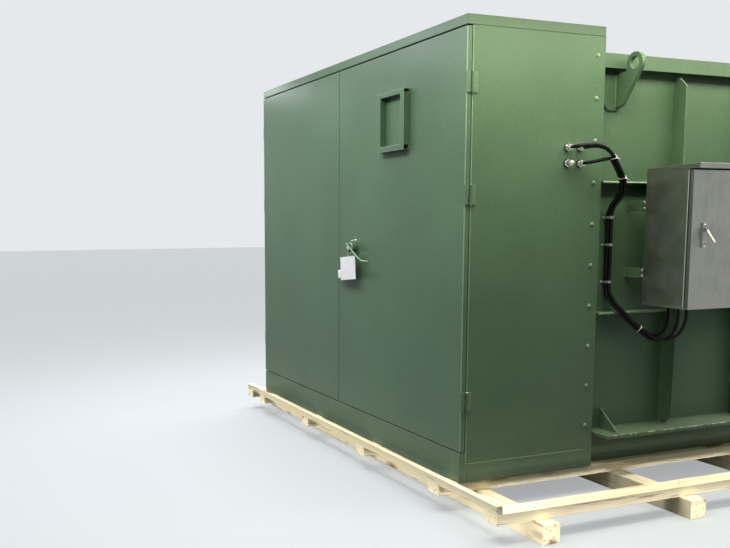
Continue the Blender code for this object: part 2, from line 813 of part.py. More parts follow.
gland_leads = [[(0.0710, 0.654, 1.505), (0.0850, 0.686, 1.512), (0.0890, 0.722, 1.519)],
               [(0.0700, 0.651, 1.578), (0.0840, 0.682, 1.579), (0.0890, 0.724, 1.569)],
               [(0.0740, 0.578, 1.578), (0.0940, 0.606, 1.582), (0.1050, 0.654, 1.584),
                (0.1080, 0.712, 1.570)]]
bundle_route = [(0.0930, 0.764, 1.529), (0.0760, 0.812, 1.483), (0.0570, 0.856, 1.440),
                (0.0390, 0.886, 1.405), (0.0140, 0.901, 1.367), (-0.0130, 0.899, 1.332),
                (-0.0330, 0.888, 1.297), (-0.0405, 0.881, 1.260), (-0.0405, 0.881, 1.220),
                (-0.0405, 0.881, 1.110), (-0.0405, 0.881, 1.000), (-0.0405, 0.881, 0.905),
                (-0.0370, 0.883, 0.872), (-0.0160, 0.896, 0.828), (0.0160, 0.922, 0.784),
                (0.0480, 0.964, 0.726), (0.0800, 1.014, 0.678)]
box_leads = [[(0.0930, 1.040, 0.644), (0.1170, 1.078, 0.634), (0.1370, 1.118, 0.648),
              (0.1470, 1.148, 0.690), (0.1490, 1.160, 0.740)],
             [(0.0870, 1.052, 0.664), (0.0940, 1.092, 0.658), (0.0940, 1.128, 0.672),
              (0.0910, 1.152, 0.706), (0.0900, 1.161, 0.750)],
             [(0.1110, 1.038, 0.656), (0.1420, 1.076, 0.641), (0.1720, 1.118, 0.656),
              (0.1930, 1.148, 0.698), (0.2010, 1.159, 0.745)]]
bundle_turns = (120, 240, 0)
clip_anchor = bundle_route[9]
route_origin = Vector((right, front, base))
bundle_reach = conduit_spacing / math.sqrt(3)


def beside_bundle(turn):
    """The bundle's line moved out from its middle, by degrees round the run from outwards."""
    points = smooth_route([route_origin + Vector(point) for point in bundle_route], conduit_step)
    angle = math.radians(turn)
    moved = []
    for index, point in enumerate(points):
        run = points[min(index + 1, len(points) - 1)] - points[max(index - 1, 0)]
        run.normalize()
        outwards = (Vector((1, 0, 0)) - run * run.x).normalized()
        sideways = run.cross(outwards)
        moved.append(point + bundle_reach * (math.cos(angle) * outwards + math.sin(angle) * sideways))
    return moved


def conduit_points(first, turn, last, gland):
    """Whole route of one conduit, from the mouth of its gland to the box's underside."""
    mouth = Vector((right + gland_reach + 2 * seat_gap, *gland))
    points = [*[route_origin + Vector(point) for point in first], *beside_bundle(turn),
              *[route_origin + Vector(point) for point in last]]
    end = Vector((points[-1].x, points[-1].y, box_low - seat_gap))
    out, up = Vector((conduit_lead, 0, 0)), Vector((0, 0, conduit_lead))
    return [mouth, *smooth_route([mouth + out, *points, end - up], conduit_step), end]


def build_conduits(hose):
    for index, route in enumerate(zip(gland_leads, bundle_turns, box_leads, gland_places())):
        add_tube(f"conduit_{index + 1}", conduit_points(*route), conduit_radius, hose)


def around_bundle(reach):
    """Line that hugs the bundle, seen from above, at some reach from its conduits' middles."""
    out, back = right + clip_anchor[0], front + clip_anchor[1]
    inner, half = out - bundle_reach / 2, conduit_spacing / 2
    return [*arc((inner, back + half), reach, 90, 60, 2), *arc((out + bundle_reach, back), reach, 60, -60, 8),
            *arc((inner, back - half), reach, -60, -90, 2)]


def build_clips(steel):
    """Straps that hold the bundle to the tank wall, each with a tab on both sides."""
    inside = conduit_radius + clip_play
    wall = tank_right + seat_gap
    back = front + clip_anchor[1]
    inner_y = conduit_spacing / 2 + inside
    outer_y = inner_y + clip_strap
    foot = wall + clip_strap
    outline = [(wall, back + inner_y), *around_bundle(inside), (wall, back - inner_y),
               (wall, back - outer_y - clip_tab), (foot, back - outer_y - clip_tab), (foot, back - outer_y),
               *reversed(around_bundle(inside + clip_strap)), (foot, back + outer_y),
               (foot, back + outer_y + clip_tab), (wall, back + outer_y + clip_tab)]
    for index, height in enumerate(clip_heights):
        low = base + height - clip_width / 2
        add_prism(f"conduit_clip_{index + 1}", outline, "z", low, low + clip_width, steel)


def main():
    clear_scene()
    timber = make_finish("sawn_pine", (0.80, 0.66, 0.42), 0.75, 0)
    paint = make_finish("green_enamel", (0.13, 0.20, 0.12), 0.40, 0)
    stainless = make_finish("brushed_stainless", (0.50, 0.51, 0.48), 0.35, 1)
    nickel = make_finish("nickel_plate", (0.70, 0.68, 0.62), 0.25, 1)
    hose = make_finish("black_conduit", (0.015, 0.015, 0.017), 0.50, 0)
    paper = make_finish("white_card", (0.85, 0.85, 0.83), 0.80, 0)
    build_pallet(timber)
    build_tank(paint)
    build_tank_fittings(paint)
    build_radiators(paint)
    hang_right = build_cabinet(paint)
    turn = make_empty("handle_pivot", (handle_x, front, handle_z), hang_right)
    build_handle(turn, nickel, paint)
    build_tag(hang_right, paper)
    build_plate_frame(hang_right, paint)
    build_glands(nickel)
    build_control_box(stainless)
    hang_box = build_control_box_door(stainless)
    build_lever(hang_box, stainless)
    build_brackets(paint)
    build_conduits(hose)
    build_clips(stainless)


main()
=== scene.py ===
# %% [markdown]
# # A power transformer on its shipping pallet
# This lesson dresses a pad-mounted transformer: a green cabinet with two doors, an oil tank behind it,
# a stainless control box on the tank's side, and the timber pallet that carries it all.
# The solids come ready-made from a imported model. We give them finishes, rounded edges and small fittings.

# %% Load the model
import json
import math
import random
from functools import partial

import bmesh
import bpy
from mathutils import Matrix, Vector


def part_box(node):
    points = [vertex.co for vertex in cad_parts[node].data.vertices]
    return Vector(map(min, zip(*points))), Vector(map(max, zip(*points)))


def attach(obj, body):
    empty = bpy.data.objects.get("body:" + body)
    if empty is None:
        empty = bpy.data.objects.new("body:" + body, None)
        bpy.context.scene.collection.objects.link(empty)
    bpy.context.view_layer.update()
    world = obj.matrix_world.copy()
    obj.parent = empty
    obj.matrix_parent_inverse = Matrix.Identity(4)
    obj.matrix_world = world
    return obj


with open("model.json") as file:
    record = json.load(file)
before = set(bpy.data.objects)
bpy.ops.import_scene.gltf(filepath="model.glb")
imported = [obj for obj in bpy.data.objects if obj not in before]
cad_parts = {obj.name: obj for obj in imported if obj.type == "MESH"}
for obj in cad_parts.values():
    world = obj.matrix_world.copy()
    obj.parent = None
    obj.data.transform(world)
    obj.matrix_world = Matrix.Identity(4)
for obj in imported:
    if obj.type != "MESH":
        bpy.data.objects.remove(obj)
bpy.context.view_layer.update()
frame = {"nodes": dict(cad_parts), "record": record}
nodes = frame["nodes"]

# %% [markdown]
# ## Where things are
# Every fitting below sits on one of the solids, so its place is worked out from the boxes of those
# solids. The hood gives the cabinet's outline, and the tank's floor gives the tank's walls. The fittings
# of the two sides are mirror images, so a list of both sides lets one loop make them.

# %% Places of the main parts
hood_low, hood_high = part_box("cabinet_hood")
floor_low, floor_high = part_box("tank_floor")
box_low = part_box("control_box_shell")[0]
left, right = hood_low.x, hood_high.x
front, cabinet_back = hood_low.y, hood_high.y
base = floor_low.z
tank_left, tank_right, tank_back = floor_low.x, floor_high.x, floor_high.y
cabinet_sides = (("right", right, 1), ("left", left, -1))
tank_sides = (("right", tank_right, 1), ("left", tank_left, -1))
print("cabinet:", round(right - left, 3), "wide,", round(cabinet_back - front, 3), "deep")

# %% [markdown]
# ## The camera
# The photograph is cut out of a wider one, so the lens looks past the middle of the picture.
# A shifted lens gives that view: the camera stands level with the door handle, off the right-hand corner.

# %% Camera
camera_data = bpy.data.cameras.new("camera")
camera_data.sensor_width = 36
camera_data.lens = 43.205
camera_data.shift_x = 0.1063
camera_data.shift_y = 0.0726
camera = bpy.data.objects.new("camera", camera_data)
camera.location = (4.5099, -3.6535, 1.3720)
camera.rotation_euler = [math.radians(angle) for angle in (83.1286, 0.2794, 67.6696)]
bpy.context.scene.collection.objects.link(camera)
bpy.context.scene.camera = camera
bpy.context.scene.view_settings.view_transform = "Standard"
print("camera height:", round(camera.location.z, 2))

# %% [markdown]
# ## Helpers for the finishes
# Every finish is a small graph of nodes. One function turns a hex colour into the linear numbers
# that a shader wants. Another adds a node with its settings and links, and hands back an output, so a
# graph reads like a list of steps. Python's partial() gives it the tree once and for all, as add().
# A pattern's scale is one over its size in metres.

# %% Colour and node helpers
def colour(code):
    """Linear red, green, blue and alpha of an sRGB hex colour."""
    values = [int(code[i:i + 2], 16) / 255 for i in (1, 3, 5)]
    return (*[v / 12.92 if v <= 0.04045 else ((v + 0.055) / 1.055) ** 2.4 for v in values], 1)


def add_node(tree, kind, inputs, output=0, **settings):
    """Adds a node. Inputs are values or other nodes' outputs, and one of its own outputs comes back."""
    made = tree.nodes.new("ShaderNode" + kind)
    for name, value in settings.items():
        setattr(made, name, value)
    for name, value in inputs.items():
        if isinstance(value, bpy.types.NodeSocket):
            tree.links.new(value, made.inputs[name])
        else:
            made.inputs[name].default_value = value
    return None if output is None else made.outputs[output]


def new_finish(name):
    """An empty material: the finish, the function that adds its nodes, and the position in metres."""
    finish = bpy.data.materials.new(name)
    finish.use_nodes = True
    finish.node_tree.nodes.clear()
    add = partial(add_node, finish.node_tree)
    return finish, add, add("TexCoord", {}, "Object")


print("helpers ready")

# %% [markdown]
# ## Green enamel
# The cabinet and tank are folded and welded steel, sprayed with a semi-gloss alkyd enamel. Sprayed
# paint has a faint orange peel, about 6 mm from crest to crest, and its tone and gloss wander from panel
# to panel. Thin sheet also waves a little between its folds, which bends the reflections over half a
# metre. Dust lies on whatever faces up, and a fine haze of it dulls the paint near the floor.

# %% Enamel
def make_enamel(name, light, dark, gloss, wave=0.008, bare=None, under="#D5D8CE", metal=False):
    """Enamel. bare gives the share of the paint that has gone, under is the colour that shows there,
    and metal says whether that is bare metal or primer."""
    finish, add, place = new_finish(name)
    drift = add("TexNoise", {"Vector": place, "Scale": 1 / 0.5, "Detail": 3.0})
    speckle = add("TexNoise", {"Vector": place, "Scale": 1 / 0.02, "Detail": 6.0, "Roughness": 0.7})
    both = add("Math", {0: drift, 1: speckle}, operation="ADD")
    tone = add("MapRange", {"Value": both, "From Min": 0.75, "From Max": 1.25})
    paint = add("Mix", {"Factor": tone, 6: colour(dark), 7: colour(light)}, 2, data_type="RGBA")
    normal = add("NewGeometry", {}, "Normal")
    upward = add("SeparateXYZ", {"Vector": normal}, "Z")
    level = add("MapRange", {"Value": upward, "From Min": 0.6, "From Max": 1.0, "To Max": 0.24})
    patchy = add("MapRange", {"Value": both, "From Min": 0.7, "From Max": 1.3, "To Min": 0.4})
    dust = add("Math", {0: level, 1: patchy}, operation="MULTIPLY")
    height = add("SeparateXYZ", {"Vector": place}, "Z")
    low_down = add("MapRange", {"Value": height, "From Min": base + 0.35, "From Max": base, "To Max": 0.22})
    haze = add("Math", {0: low_down, 1: patchy}, operation="MULTIPLY")
    film = add("Math", {0: dust, 1: haze}, operation="MAXIMUM")
    paint = add("Mix", {"Factor": film, 6: paint, 7: colour("#9AA08E")}, 2, data_type="RGBA")
    shine = add("MapRange", {"Value": drift, "From Min": 0.3, "From Max": 0.7, "To Min": gloss - 0.03,
                             "To Max": gloss + 0.05})
    dull = add("Math", {0: film, 1: 0.4, 2: shine}, operation="MULTIPLY_ADD")
    peel = add("TexNoise", {"Vector": place, "Scale": 1 / 0.006, "Detail": 2.0})
    fine = add("Bump", {"Height": peel, "Strength": 0.10, "Distance": 0.0004})
    swell = add("TexNoise", {"Vector": place, "Scale": 1 / 0.45, "Detail": 1.0})
    relief = add("Bump", {"Height": swell, "Strength": 0.9, "Distance": wave, "Normal": fine})
    coat = {"Base Color": paint, "Roughness": dull, "Normal": relief, "Specular IOR Level": 0.22}
    if bare:
        gone = bare(add, place)
        coat["Base Color"] = add("Mix", {"Factor": gone, 6: paint, 7: colour(under)}, 2, data_type="RGBA")
        if metal:
            coat["Metallic"] = gone
    surface = add("BsdfPrincipled", coat)
    add("OutputMaterial", {"Surface": surface}, None)
    return finish


enamel = make_enamel("sprayed_green_enamel", "#597558", "#506B50", 0.36)
tank_enamel = make_enamel("sprayed_green_enamel_on_plate", "#557054", "#4B664B", 0.40, wave=0.003)
weld_enamel = make_enamel("green_enamel_on_weld", "#607B5E", "#546F53", 0.34, wave=0.001)
# A lighter copy of the panel enamel: a painted highlight on the bolts, rail noses and handle.
lighter_highlight_enamel = make_enamel("green_enamel_on_bolts", "#86A083", "#78926F", 0.24, wave=0.0)
# A lighter copy of the panel enamel for the hinge leaves: a painted highlight.
hinge_highlight_enamel = make_enamel("green_enamel_on_hinges", "#6A8468", "#60795E", 0.30, wave=0.0)
# A still lighter copy of the panel enamel for the folds: a painted highlight.
fold_highlight_enamel = make_enamel("thin_green_enamel_on_folds", "#93AE90", "#86A083", 0.26, wave=0.0)
print(enamel.name, tank_enamel.name, weld_enamel.name, lighter_highlight_enamel.name, hinge_highlight_enamel.name, fold_highlight_enamel.name)

# %% [markdown]
# ## Enamel that has worn through
# The jacking shelves take knocks from jacks and slings, so the paint is chipped off along their outer
# edge, down to pale primer. The lock in the middle of the handle's hub is bare nickel, kept clean by
# the key. Both are the same enamel with a mask: a chip is noise near an edge, the lock is a disc.

# %% Worn enamel
middle_x = (tank_left + tank_right) / 2
shelf_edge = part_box("jacking_shelf_right")[1].x - middle_x
shelf_height = 0.173
shelf_top = base + shelf_height
worn_width = 0.012
hub_low, hub_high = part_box("handle_hub")
hub = (hub_low + hub_high) / 2
lock_radius = 0.0115
lock_rim = 0.0006


def chips(add, place):
    """Share of the paint that is gone: flakes of some 40 mm along a shelf's upper outer edge."""
    moved = add("VectorMath", {0: place, 1: (middle_x, 0, 0)}, operation="SUBTRACT")
    sideways = add("SeparateXYZ", {"Vector": moved}, "X")
    across = add("Math", {0: sideways}, operation="ABSOLUTE")
    outer = add("MapRange", {"Value": across, "From Min": shelf_edge - worn_width, "From Max": shelf_edge})
    height = add("SeparateXYZ", {"Vector": place}, "Z")
    upper = add("MapRange", {"Value": height, "From Min": shelf_top - worn_width, "From Max": shelf_top})
    corner = add("Math", {0: outer, 1: upper}, operation="ADD")
    noise = add("TexNoise", {"Vector": place, "Scale": 1 / 0.04, "Detail": 6.0, "Roughness": 0.7})
    flakes = add("MapRange", {"Value": noise, "From Min": 0.40, "From Max": 0.60})
    both = add("Math", {0: flakes, 1: 0.5, 2: corner}, operation="MULTIPLY_ADD")
    return add("MapRange", {"Value": both, "From Min": 2.14, "From Max": 2.18})


def lock_face(add, place):
    """1 on the lock in the middle of the hub, and 0 outside it."""
    flat = add("VectorMath", {0: place, 1: (1, 0, 1)}, operation="MULTIPLY")
    reach = add("VectorMath", {0: flat, 1: (hub.x, 0, hub.z)}, "Value", operation="DISTANCE")
    return add("MapRange", {"Value": reach, "From Min": lock_radius + lock_rim, "From Max": lock_radius})


shelf_finish = make_enamel("chipped_green_enamel", "#557054", "#4B664B", 0.40, 0.003, chips)
hub_finish = make_enamel("green_enamel_round_nickel_lock", "#597558", "#506B50", 0.38, 0.0, lock_face,
                         "#E8E5DA", True)
print(shelf_finish.name, hub_finish.name)

# %% [markdown]
# ## Sawn pine
# The pallet is rough-sawn pine, pale and dry. A board is a slice of a trunk, so its grain is a set of
# rings round a line that runs along the board, somewhere outside it. Drawing the rings in three
# dimensions gives long streaks on the faces and arcs on the sawn ends, and they meet at the edges.
# Real rings are 2 to 5 mm apart. They are drawn 9 mm apart here, so that they show at this distance.

# %% Pine
def make_pine(name, along, pith, seed):
    """Pine whose grain runs along x or y, with the middle of the trunk at pith.

    Each layer of the loop is a pattern, the values at which it starts and is full, its share and colour.
    """
    finish, add, place = new_finish(name)
    stretch, section, squeeze = {"x": ((0.04, 1, 1), (0, 1, 1), (0.35, 1, 1)),
                                 "y": ((1, 0.04, 1), (1, 0, 1), (1, 0.35, 1))}[along]
    long_way = add("VectorMath", {0: place, 1: stretch}, operation="MULTIPLY")
    shifted = add("VectorMath", {0: long_way, 1: (seed, seed, seed)})
    bend = add("TexNoise", {"Vector": shifted, "Scale": 1 / 0.05, "Detail": 2.0}, "Color")
    swing = add("VectorMath", {0: bend, "Scale": 0.03}, operation="SCALE")
    offset = add("VectorMath", {0: place, 1: pith}, operation="SUBTRACT")
    across = add("VectorMath", {0: offset, 1: section}, operation="MULTIPLY")
    bent = add("VectorMath", {0: across, 1: swing})
    reach = add("VectorMath", {0: bent}, "Value", operation="LENGTH")
    count = add("Math", {0: reach, 1: 1 / 0.009}, operation="MULTIPLY")
    ring = add("Math", {0: count}, operation="FRACT")
    late = add("Math", {0: ring, 1: 6.0}, operation="POWER")
    late_share = add("Math", {0: late, 1: 0.75}, operation="MULTIPLY")
    wood = add("Mix", {"Factor": late_share, 6: colour("#FFF5D3"), 7: colour("#DDB274")}, 2, data_type="RGBA")
    fibre = add("TexNoise", {"Vector": shifted, "Scale": 1 / 0.004, "Detail": 4.0, "Roughness": 0.7})
    streak = add("TexNoise", {"Vector": shifted, "Scale": 1 / 0.014, "Detail": 3.0})
    patch = add("TexNoise", {"Vector": shifted, "Scale": 1 / 0.11, "Detail": 2.0})
    squeezed = add("VectorMath", {0: place, 1: squeeze}, operation="MULTIPLY")
    elsewhere = add("VectorMath", {0: squeezed, 1: (seed, seed, seed)})
    knot = add("TexVoronoi", {"Vector": elsewhere, "Scale": 1 / 0.13}, "Distance")
    grime = add("TexNoise", {"Vector": place, "Scale": 1 / 0.06, "Detail": 6.0, "Roughness": 0.7})
    for pattern, start, full, share, code in ((fibre, 0.54, 0.72, 0.4, "#CBA368"),
                                              (streak, 0.61, 0.67, 0.75, "#93714A"),
                                              (patch, 0.45, 0.7, 0.5, "#FBE0A6"),
                                              (knot, 0.25, 0.12, 0.85, "#7D5330"),
                                              (grime, 0.62, 0.76, 0.25, "#9A917F")):
        layer = add("MapRange", {"Value": pattern, "From Min": start, "From Max": full, "To Max": share})
        wood = add("Mix", {"Factor": layer, 6: wood, 7: colour(code)}, 2, data_type="RGBA")
    rough = add("MapRange", {"Value": fibre, "From Min": 0.2, "From Max": 0.8, "To Min": 0.7, "To Max": 0.9})
    fuzz = add("Math", {0: late, 1: 0.6, 2: fibre}, operation="MULTIPLY_ADD")
    relief = add("Bump", {"Height": fuzz, "Strength": 0.5, "Distance": 0.0012})
    surface = add("BsdfPrincipled", {"Base Color": wood, "Roughness": rough, "Normal": relief})
    add("OutputMaterial", {"Surface": surface}, None)
    return finish


def pine_for(name, seed):
    """Pine for one board of the pallet, with its pith a little way below the board."""
    low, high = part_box(name)
    along = "x" if high.x - low.x > high.y - low.y else "y"
    middle = (low + high) / 2
    trunk = random.Random(seed)
    aside = trunk.uniform(-0.05, 0.05)
    pith = (middle.x + aside, middle.y + aside, low.z - trunk.uniform(0.01, 0.08))
    return make_pine(f"sawn_pine_{name}", along, pith, trunk.uniform(0, 9))


boards = [name for name in nodes if name.startswith(("runner", "skid_beam", "front_strip"))]
pine = {name: pine_for(name, index) for index, name in enumerate(sorted(boards))}
print("boards:", len(pine))

# %% [markdown]
# ## Ground stainless sheet
# The control box is folded from thin stainless sheet with a ground finish. The belt leaves fine upright
# scratches, under a tenth of a millimetre apart. They are drawn 1.5 mm apart here so that they show.
# Sheet is never quite flat, and hands leave duller patches on it.

# %% Stainless
def make_stainless(name, code, roughness):
    """Ground sheet: upright scratches on a slow swell, duller where hands have touched it."""
    finish, add, place = new_finish(name)
    upright = add("VectorMath", {0: place, 1: (1, 1, 0.02)}, operation="MULTIPLY")
    scratch = add("TexNoise", {"Vector": upright, "Scale": 1 / 0.0015, "Detail": 3.0, "Roughness": 0.6})
    smear = add("TexNoise", {"Vector": place, "Scale": 1 / 0.09, "Detail": 4.0, "Roughness": 0.6})
    in_scratch = add("MapRange", {"Value": scratch, "From Min": 0.35, "From Max": 0.65, "To Max": 0.35})
    metal = add("Mix", {"Factor": in_scratch, 6: colour(code), 7: colour("#7B7D75")}, 2, data_type="RGBA")
    touched = add("MapRange", {"Value": smear, "From Min": 0.45, "From Max": 0.7, "To Max": 0.35})
    metal = add("Mix", {"Factor": touched, 6: metal, 7: colour("#86887F")}, 2, data_type="RGBA")
    gloss = add("MapRange", {"Value": scratch, "From Min": 0.3, "From Max": 0.7, "To Min": roughness - 0.05,
                             "To Max": roughness + 0.06})
    dull = add("Math", {0: touched, 1: 0.25, 2: gloss}, operation="MULTIPLY_ADD")
    fine = add("Bump", {"Height": scratch, "Strength": 0.08, "Distance": 0.0003})
    swell = add("TexNoise", {"Vector": place, "Scale": 1 / 0.2, "Detail": 1.0})
    relief = add("Bump", {"Height": swell, "Strength": 0.8, "Distance": 0.002, "Normal": fine})
    surface = add("BsdfPrincipled", {"Base Color": metal, "Metallic": 1.0, "Roughness": dull,
                                     "Normal": relief, "Anisotropic": 0.4})
    add("OutputMaterial", {"Surface": surface}, None)
    return finish


stainless = make_stainless("ground_stainless", "#A6A79D", 0.34)
# A lighter stainless for the box's hem and fold band: a painted highlight.
hem_highlight_stainless = make_stainless("rubbed_stainless_hem", "#D9DAD3", 0.28)
print(stainless.name, hem_highlight_stainless.name)

# %% [markdown]
# ## Plated, moulded and paper finishes
# The glands and screws are brass and steel with a bright plating, which stays smooth and only clouds a
# little. The conduit is extruded PVC with a satin skin that catches dust. The ties are moulded nylon,
# the seals are foamed rubber, and the tags are matt card with short fibres.

# %% Small finishes
def make_plated(name, code, cloudy, roughness):
    """Plated metal, a little cloudy over 5 mm, with a skin that ripples over 1.5 mm."""
    finish, add, place = new_finish(name)
    cloud = add("TexNoise", {"Vector": place, "Scale": 1 / 0.005, "Detail": 4.0, "Roughness": 0.6})
    metal = add("Mix", {"Factor": cloud, 6: colour(code), 7: colour(cloudy)}, 2, data_type="RGBA")
    gloss = add("MapRange", {"Value": cloud, "From Min": 0.3, "From Max": 0.7, "To Min": roughness - 0.05,
                             "To Max": roughness + 0.10})
    skin = add("TexNoise", {"Vector": place, "Scale": 1 / 0.0015, "Detail": 2.0})
    relief = add("Bump", {"Height": skin, "Strength": 0.1, "Distance": 0.0002})
    surface = add("BsdfPrincipled", {"Base Color": metal, "Metallic": 1.0, "Roughness": gloss,
                                     "Normal": relief})
    add("OutputMaterial", {"Surface": surface}, None)
    return finish


def make_matt(name, light, dark, grain, roughness, depth, specular=0.5):
    """A dull finish whose two tones, gloss and bump follow one grain size."""
    finish, add, place = new_finish(name)
    texture = add("TexNoise", {"Vector": place, "Scale": 1 / grain, "Detail": 5.0, "Roughness": 0.65})
    dust = add("TexNoise", {"Vector": place, "Scale": 1 / (12 * grain), "Detail": 3.0})
    both = add("Math", {0: texture, 1: dust}, operation="ADD")
    tone = add("MapRange", {"Value": both, "From Min": 0.75, "From Max": 1.25})
    skin = add("Mix", {"Factor": tone, 6: colour(dark), 7: colour(light)}, 2, data_type="RGBA")
    gloss = add("MapRange", {"Value": texture, "From Min": 0.3, "From Max": 0.7, "To Min": roughness - 0.06,
                             "To Max": roughness + 0.06})
    relief = add("Bump", {"Height": texture, "Strength": 0.25, "Distance": depth})
    surface = add("BsdfPrincipled", {"Base Color": skin, "Roughness": gloss, "Normal": relief,
                                     "Specular IOR Level": specular})
    add("OutputMaterial", {"Surface": surface}, None)
    return finish


nickel = make_plated("bright_nickel_plate", "#F4F2EA", "#D2CEC2", 0.20)
zinc = make_plated("bright_zinc_plate", "#E6E8E4", "#BFC3BF", 0.28)
conduit_pvc = make_matt("extruded_black_pvc", "#0A0B0B", "#040505", 0.003, 0.48, 0.0003, 0.16)
rubber = make_matt("black_foamed_rubber", "#1B1C1B", "#0E0F0E", 0.002, 0.75, 0.0004)
nylon = make_matt("white_moulded_nylon", "#EFEFE8", "#DADAD1", 0.002, 0.40, 0.0001)
card = make_matt("white_card", "#FBFBF9", "#F1F1EE", 0.003, 0.80, 0.0001)
nail_steel = make_matt("rusting_nail_steel", "#6B5A4A", "#3E3129", 0.002, 0.55, 0.0003)
print("finishes:", len(bpy.data.materials))

# %% [markdown]
# ## Dressing the solids
# Folded sheet and sawn timber never have a perfectly sharp edge, and the highlight along a rounded
# edge is what makes a panel look real. A Bevel modifier rounds them without touching the solid.
# Sheet folds round at about its own thickness, plate edges are only broken, and timber edges are soft.
# Spray draws back from a fold as it dries, so the enamel is thin, pale and glossy there. The modifier
# The modifier can hand its new faces a second finish. The folds of the doors, side panels and plate frame
# get a lighter enamel there, a painted highlight along each fold. Without them it is a few long faces that
# wrap round the opening, and the Bevel makes such a face cross itself, which draws a skin over the hole.

# %% Finishes on the solids
slots = {part["node"]: part["material_slot"] for part in frame["record"]["subparts"]}
by_slot = {"green_enamel": enamel, "brushed_stainless": stainless, "nickel_plate": nickel,
           "black_conduit": conduit_pvc, "white_card": card}
on_plate = ("tank_", "lifting_lug", "radiator", "control_box_bracket")
fold_radius = {"green_enamel": 0.0020, "brushed_stainless": 0.0015, "sawn_pine": 0.0030}
own_radius = {"control_box_door": 0.0070, "door_right": 0.0045, "door_left": 0.0045, "cabinet_hood": 0.0040,
              "cabinet_side_right": 0.0040, "cabinet_side_left": 0.0040,
              "tank_wall_right": 0.0052, "tank_wall_left": 0.0052}
open_rims = ("control_box_shell", "conduit_clip", "plate_frame")


def finish_for(name):
    if name in pine:
        return pine[name]
    if name.startswith("jacking_shelf"):
        return shelf_finish
    # The handle, all but its hub, gets the lighter enamel: a painted highlight.
    if name.startswith("handle"):
        return hub_finish if name == "handle_hub" else lighter_highlight_enamel
    return tank_enamel if name.startswith(on_plate) else by_slot[slots[name]]


def round_edges(solid, radius):
    """Welds the corners, clears flat seams unless they hold an open rim, and rounds what is left."""
    weld = solid.modifiers.new("weld", "WELD")
    weld.merge_threshold = 0.00001
    if not solid.name.startswith(open_rims):
        flat = solid.modifiers.new("flat", "DECIMATE")
        flat.decimate_type = "DISSOLVE"
        flat.angle_limit = math.radians(1)
    bevel = solid.modifiers.new("bevel", "BEVEL")
    bevel.width = radius
    bevel.segments = 3
    bevel.limit_method = "ANGLE"
    bevel.angle_limit = math.radians(40)
    bevel.harden_normals = True
    bevel.material = len(solid.data.materials) - 1


for name, solid in nodes.items():
    solid.data.materials.clear()
    solid.data.materials.append(finish_for(name))
    # The folds of these solids get the lighter fold enamel: a painted highlight.
    if name.startswith(("door_right", "door_left", "cabinet_side", "plate_frame")):
        solid.data.materials.append(fold_highlight_enamel)
    if slots[name] in fold_radius:
        round_edges(solid, own_radius.get(name, fold_radius[slots[name]]))
print("dressed:", len(nodes))

# %% [markdown]
# ## Helpers for the fittings
# Fasteners are turned parts, so one helper spins a profile into a mesh. Two more stamp copies of such a
# mesh into one piece. Another sweeps a round section along a line, for welds, ties and flutes.

# %% Mesh helpers
def add_piece(name, bm, finish, body="transformer", sharp_over=40):
    """Turns a bmesh into a piece that rides on a body."""
    bmesh.ops.recalc_face_normals(bm, faces=bm.faces)
    mesh = bpy.data.meshes.new(name)
    bm.to_mesh(mesh)
    bm.free()
    mesh.materials.append(finish)
    mesh.shade_smooth()
    mesh.set_sharp_from_angle(angle=math.radians(sharp_over))
    piece = bpy.data.objects.new(name, mesh)
    bpy.context.scene.collection.objects.link(piece)
    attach(piece, body)
    return piece


def turn_shape(profile, sides=20):
    """A mesh spun round Z from pairs of radius and height, which end on the axis or where they start."""
    bm = bmesh.new()
    verts = [bm.verts.new((radius, 0, height)) for radius, height in profile]
    edges = [bm.edges.new(pair) for pair in zip(verts, verts[1:])]
    bmesh.ops.spin(bm, geom=verts + edges, cent=(0, 0, 0), axis=(0, 0, 1), angle=math.tau, steps=sides)
    bmesh.ops.remove_doubles(bm, verts=bm.verts, dist=0.00001)
    shape = bpy.data.meshes.new("turned")
    bm.to_mesh(shape)
    bm.free()
    return shape


def stamp(bm, shape, place, way):
    """Adds a copy of a mesh, with its Z axis turned to way."""
    count = len(bm.verts)
    bm.from_mesh(shape)
    bm.verts.ensure_lookup_table()
    turn = Vector(way).to_track_quat("Z", "Y").to_matrix().to_4x4()
    bmesh.ops.transform(bm, matrix=Matrix.Translation(place) @ turn, verts=bm.verts[count:])


def add_copies(name, shape, places, way, finish, body="transformer"):
    """A piece made of copies of one mesh, all turned the same way."""
    bm = bmesh.new()
    for place in places:
        stamp(bm, shape, place, way)
    return add_piece(name, bm, finish, body)


def sweep(bm, points, radius, sides=8, closed=False):
    """Sweeps a round section along points. The radius may be a list, one for each point."""
    points = [Vector(point) for point in points]
    count = len(points)
    radii = radius if isinstance(radius, list) else [radius] * count
    rings = []
    aside = None
    for index, point in enumerate(points):
        ahead = points[(index + 1) % count] if closed or index + 1 < count else point
        behind = points[index - 1] if closed or index else point
        way = (ahead - behind).normalized()
        aside = way.orthogonal() if aside is None else aside - way * aside.dot(way)
        aside.normalize()
        over = way.cross(aside)
        turns = [math.tau * side / sides for side in range(sides)]
        rings.append([bm.verts.new(point + radii[index] * (aside * math.cos(t) + over * math.sin(t)))
                      for t in turns])
    pairs = list(zip(rings, rings[1:])) + ([(rings[-1], rings[0])] if closed else [])
    for first, second in pairs:
        for side in range(sides):
            after = (side + 1) % sides
            bm.faces.new((first[side], first[after], second[after], second[side]))
    if not closed:
        bm.faces.new(rings[0])
        bm.faces.new(rings[-1])


def add_block(bm, low, high):
    """Adds a box from its lowest to its highest corner."""
    low, high = Vector(low), Vector(high)
    size = Matrix.Diagonal((*(high - low), 1))
    bmesh.ops.create_cube(bm, size=1, matrix=Matrix.Translation((low + high) / 2) @ size)


print("mesh helpers ready")

# %% [markdown]
# ## Panel bolts
# Ten button-head bolts, painted over with the panel, hold each side sheet to the frame behind it.
# They stand in one column near the rear edge, 200 mm apart. A button head is a low dome on a washer.

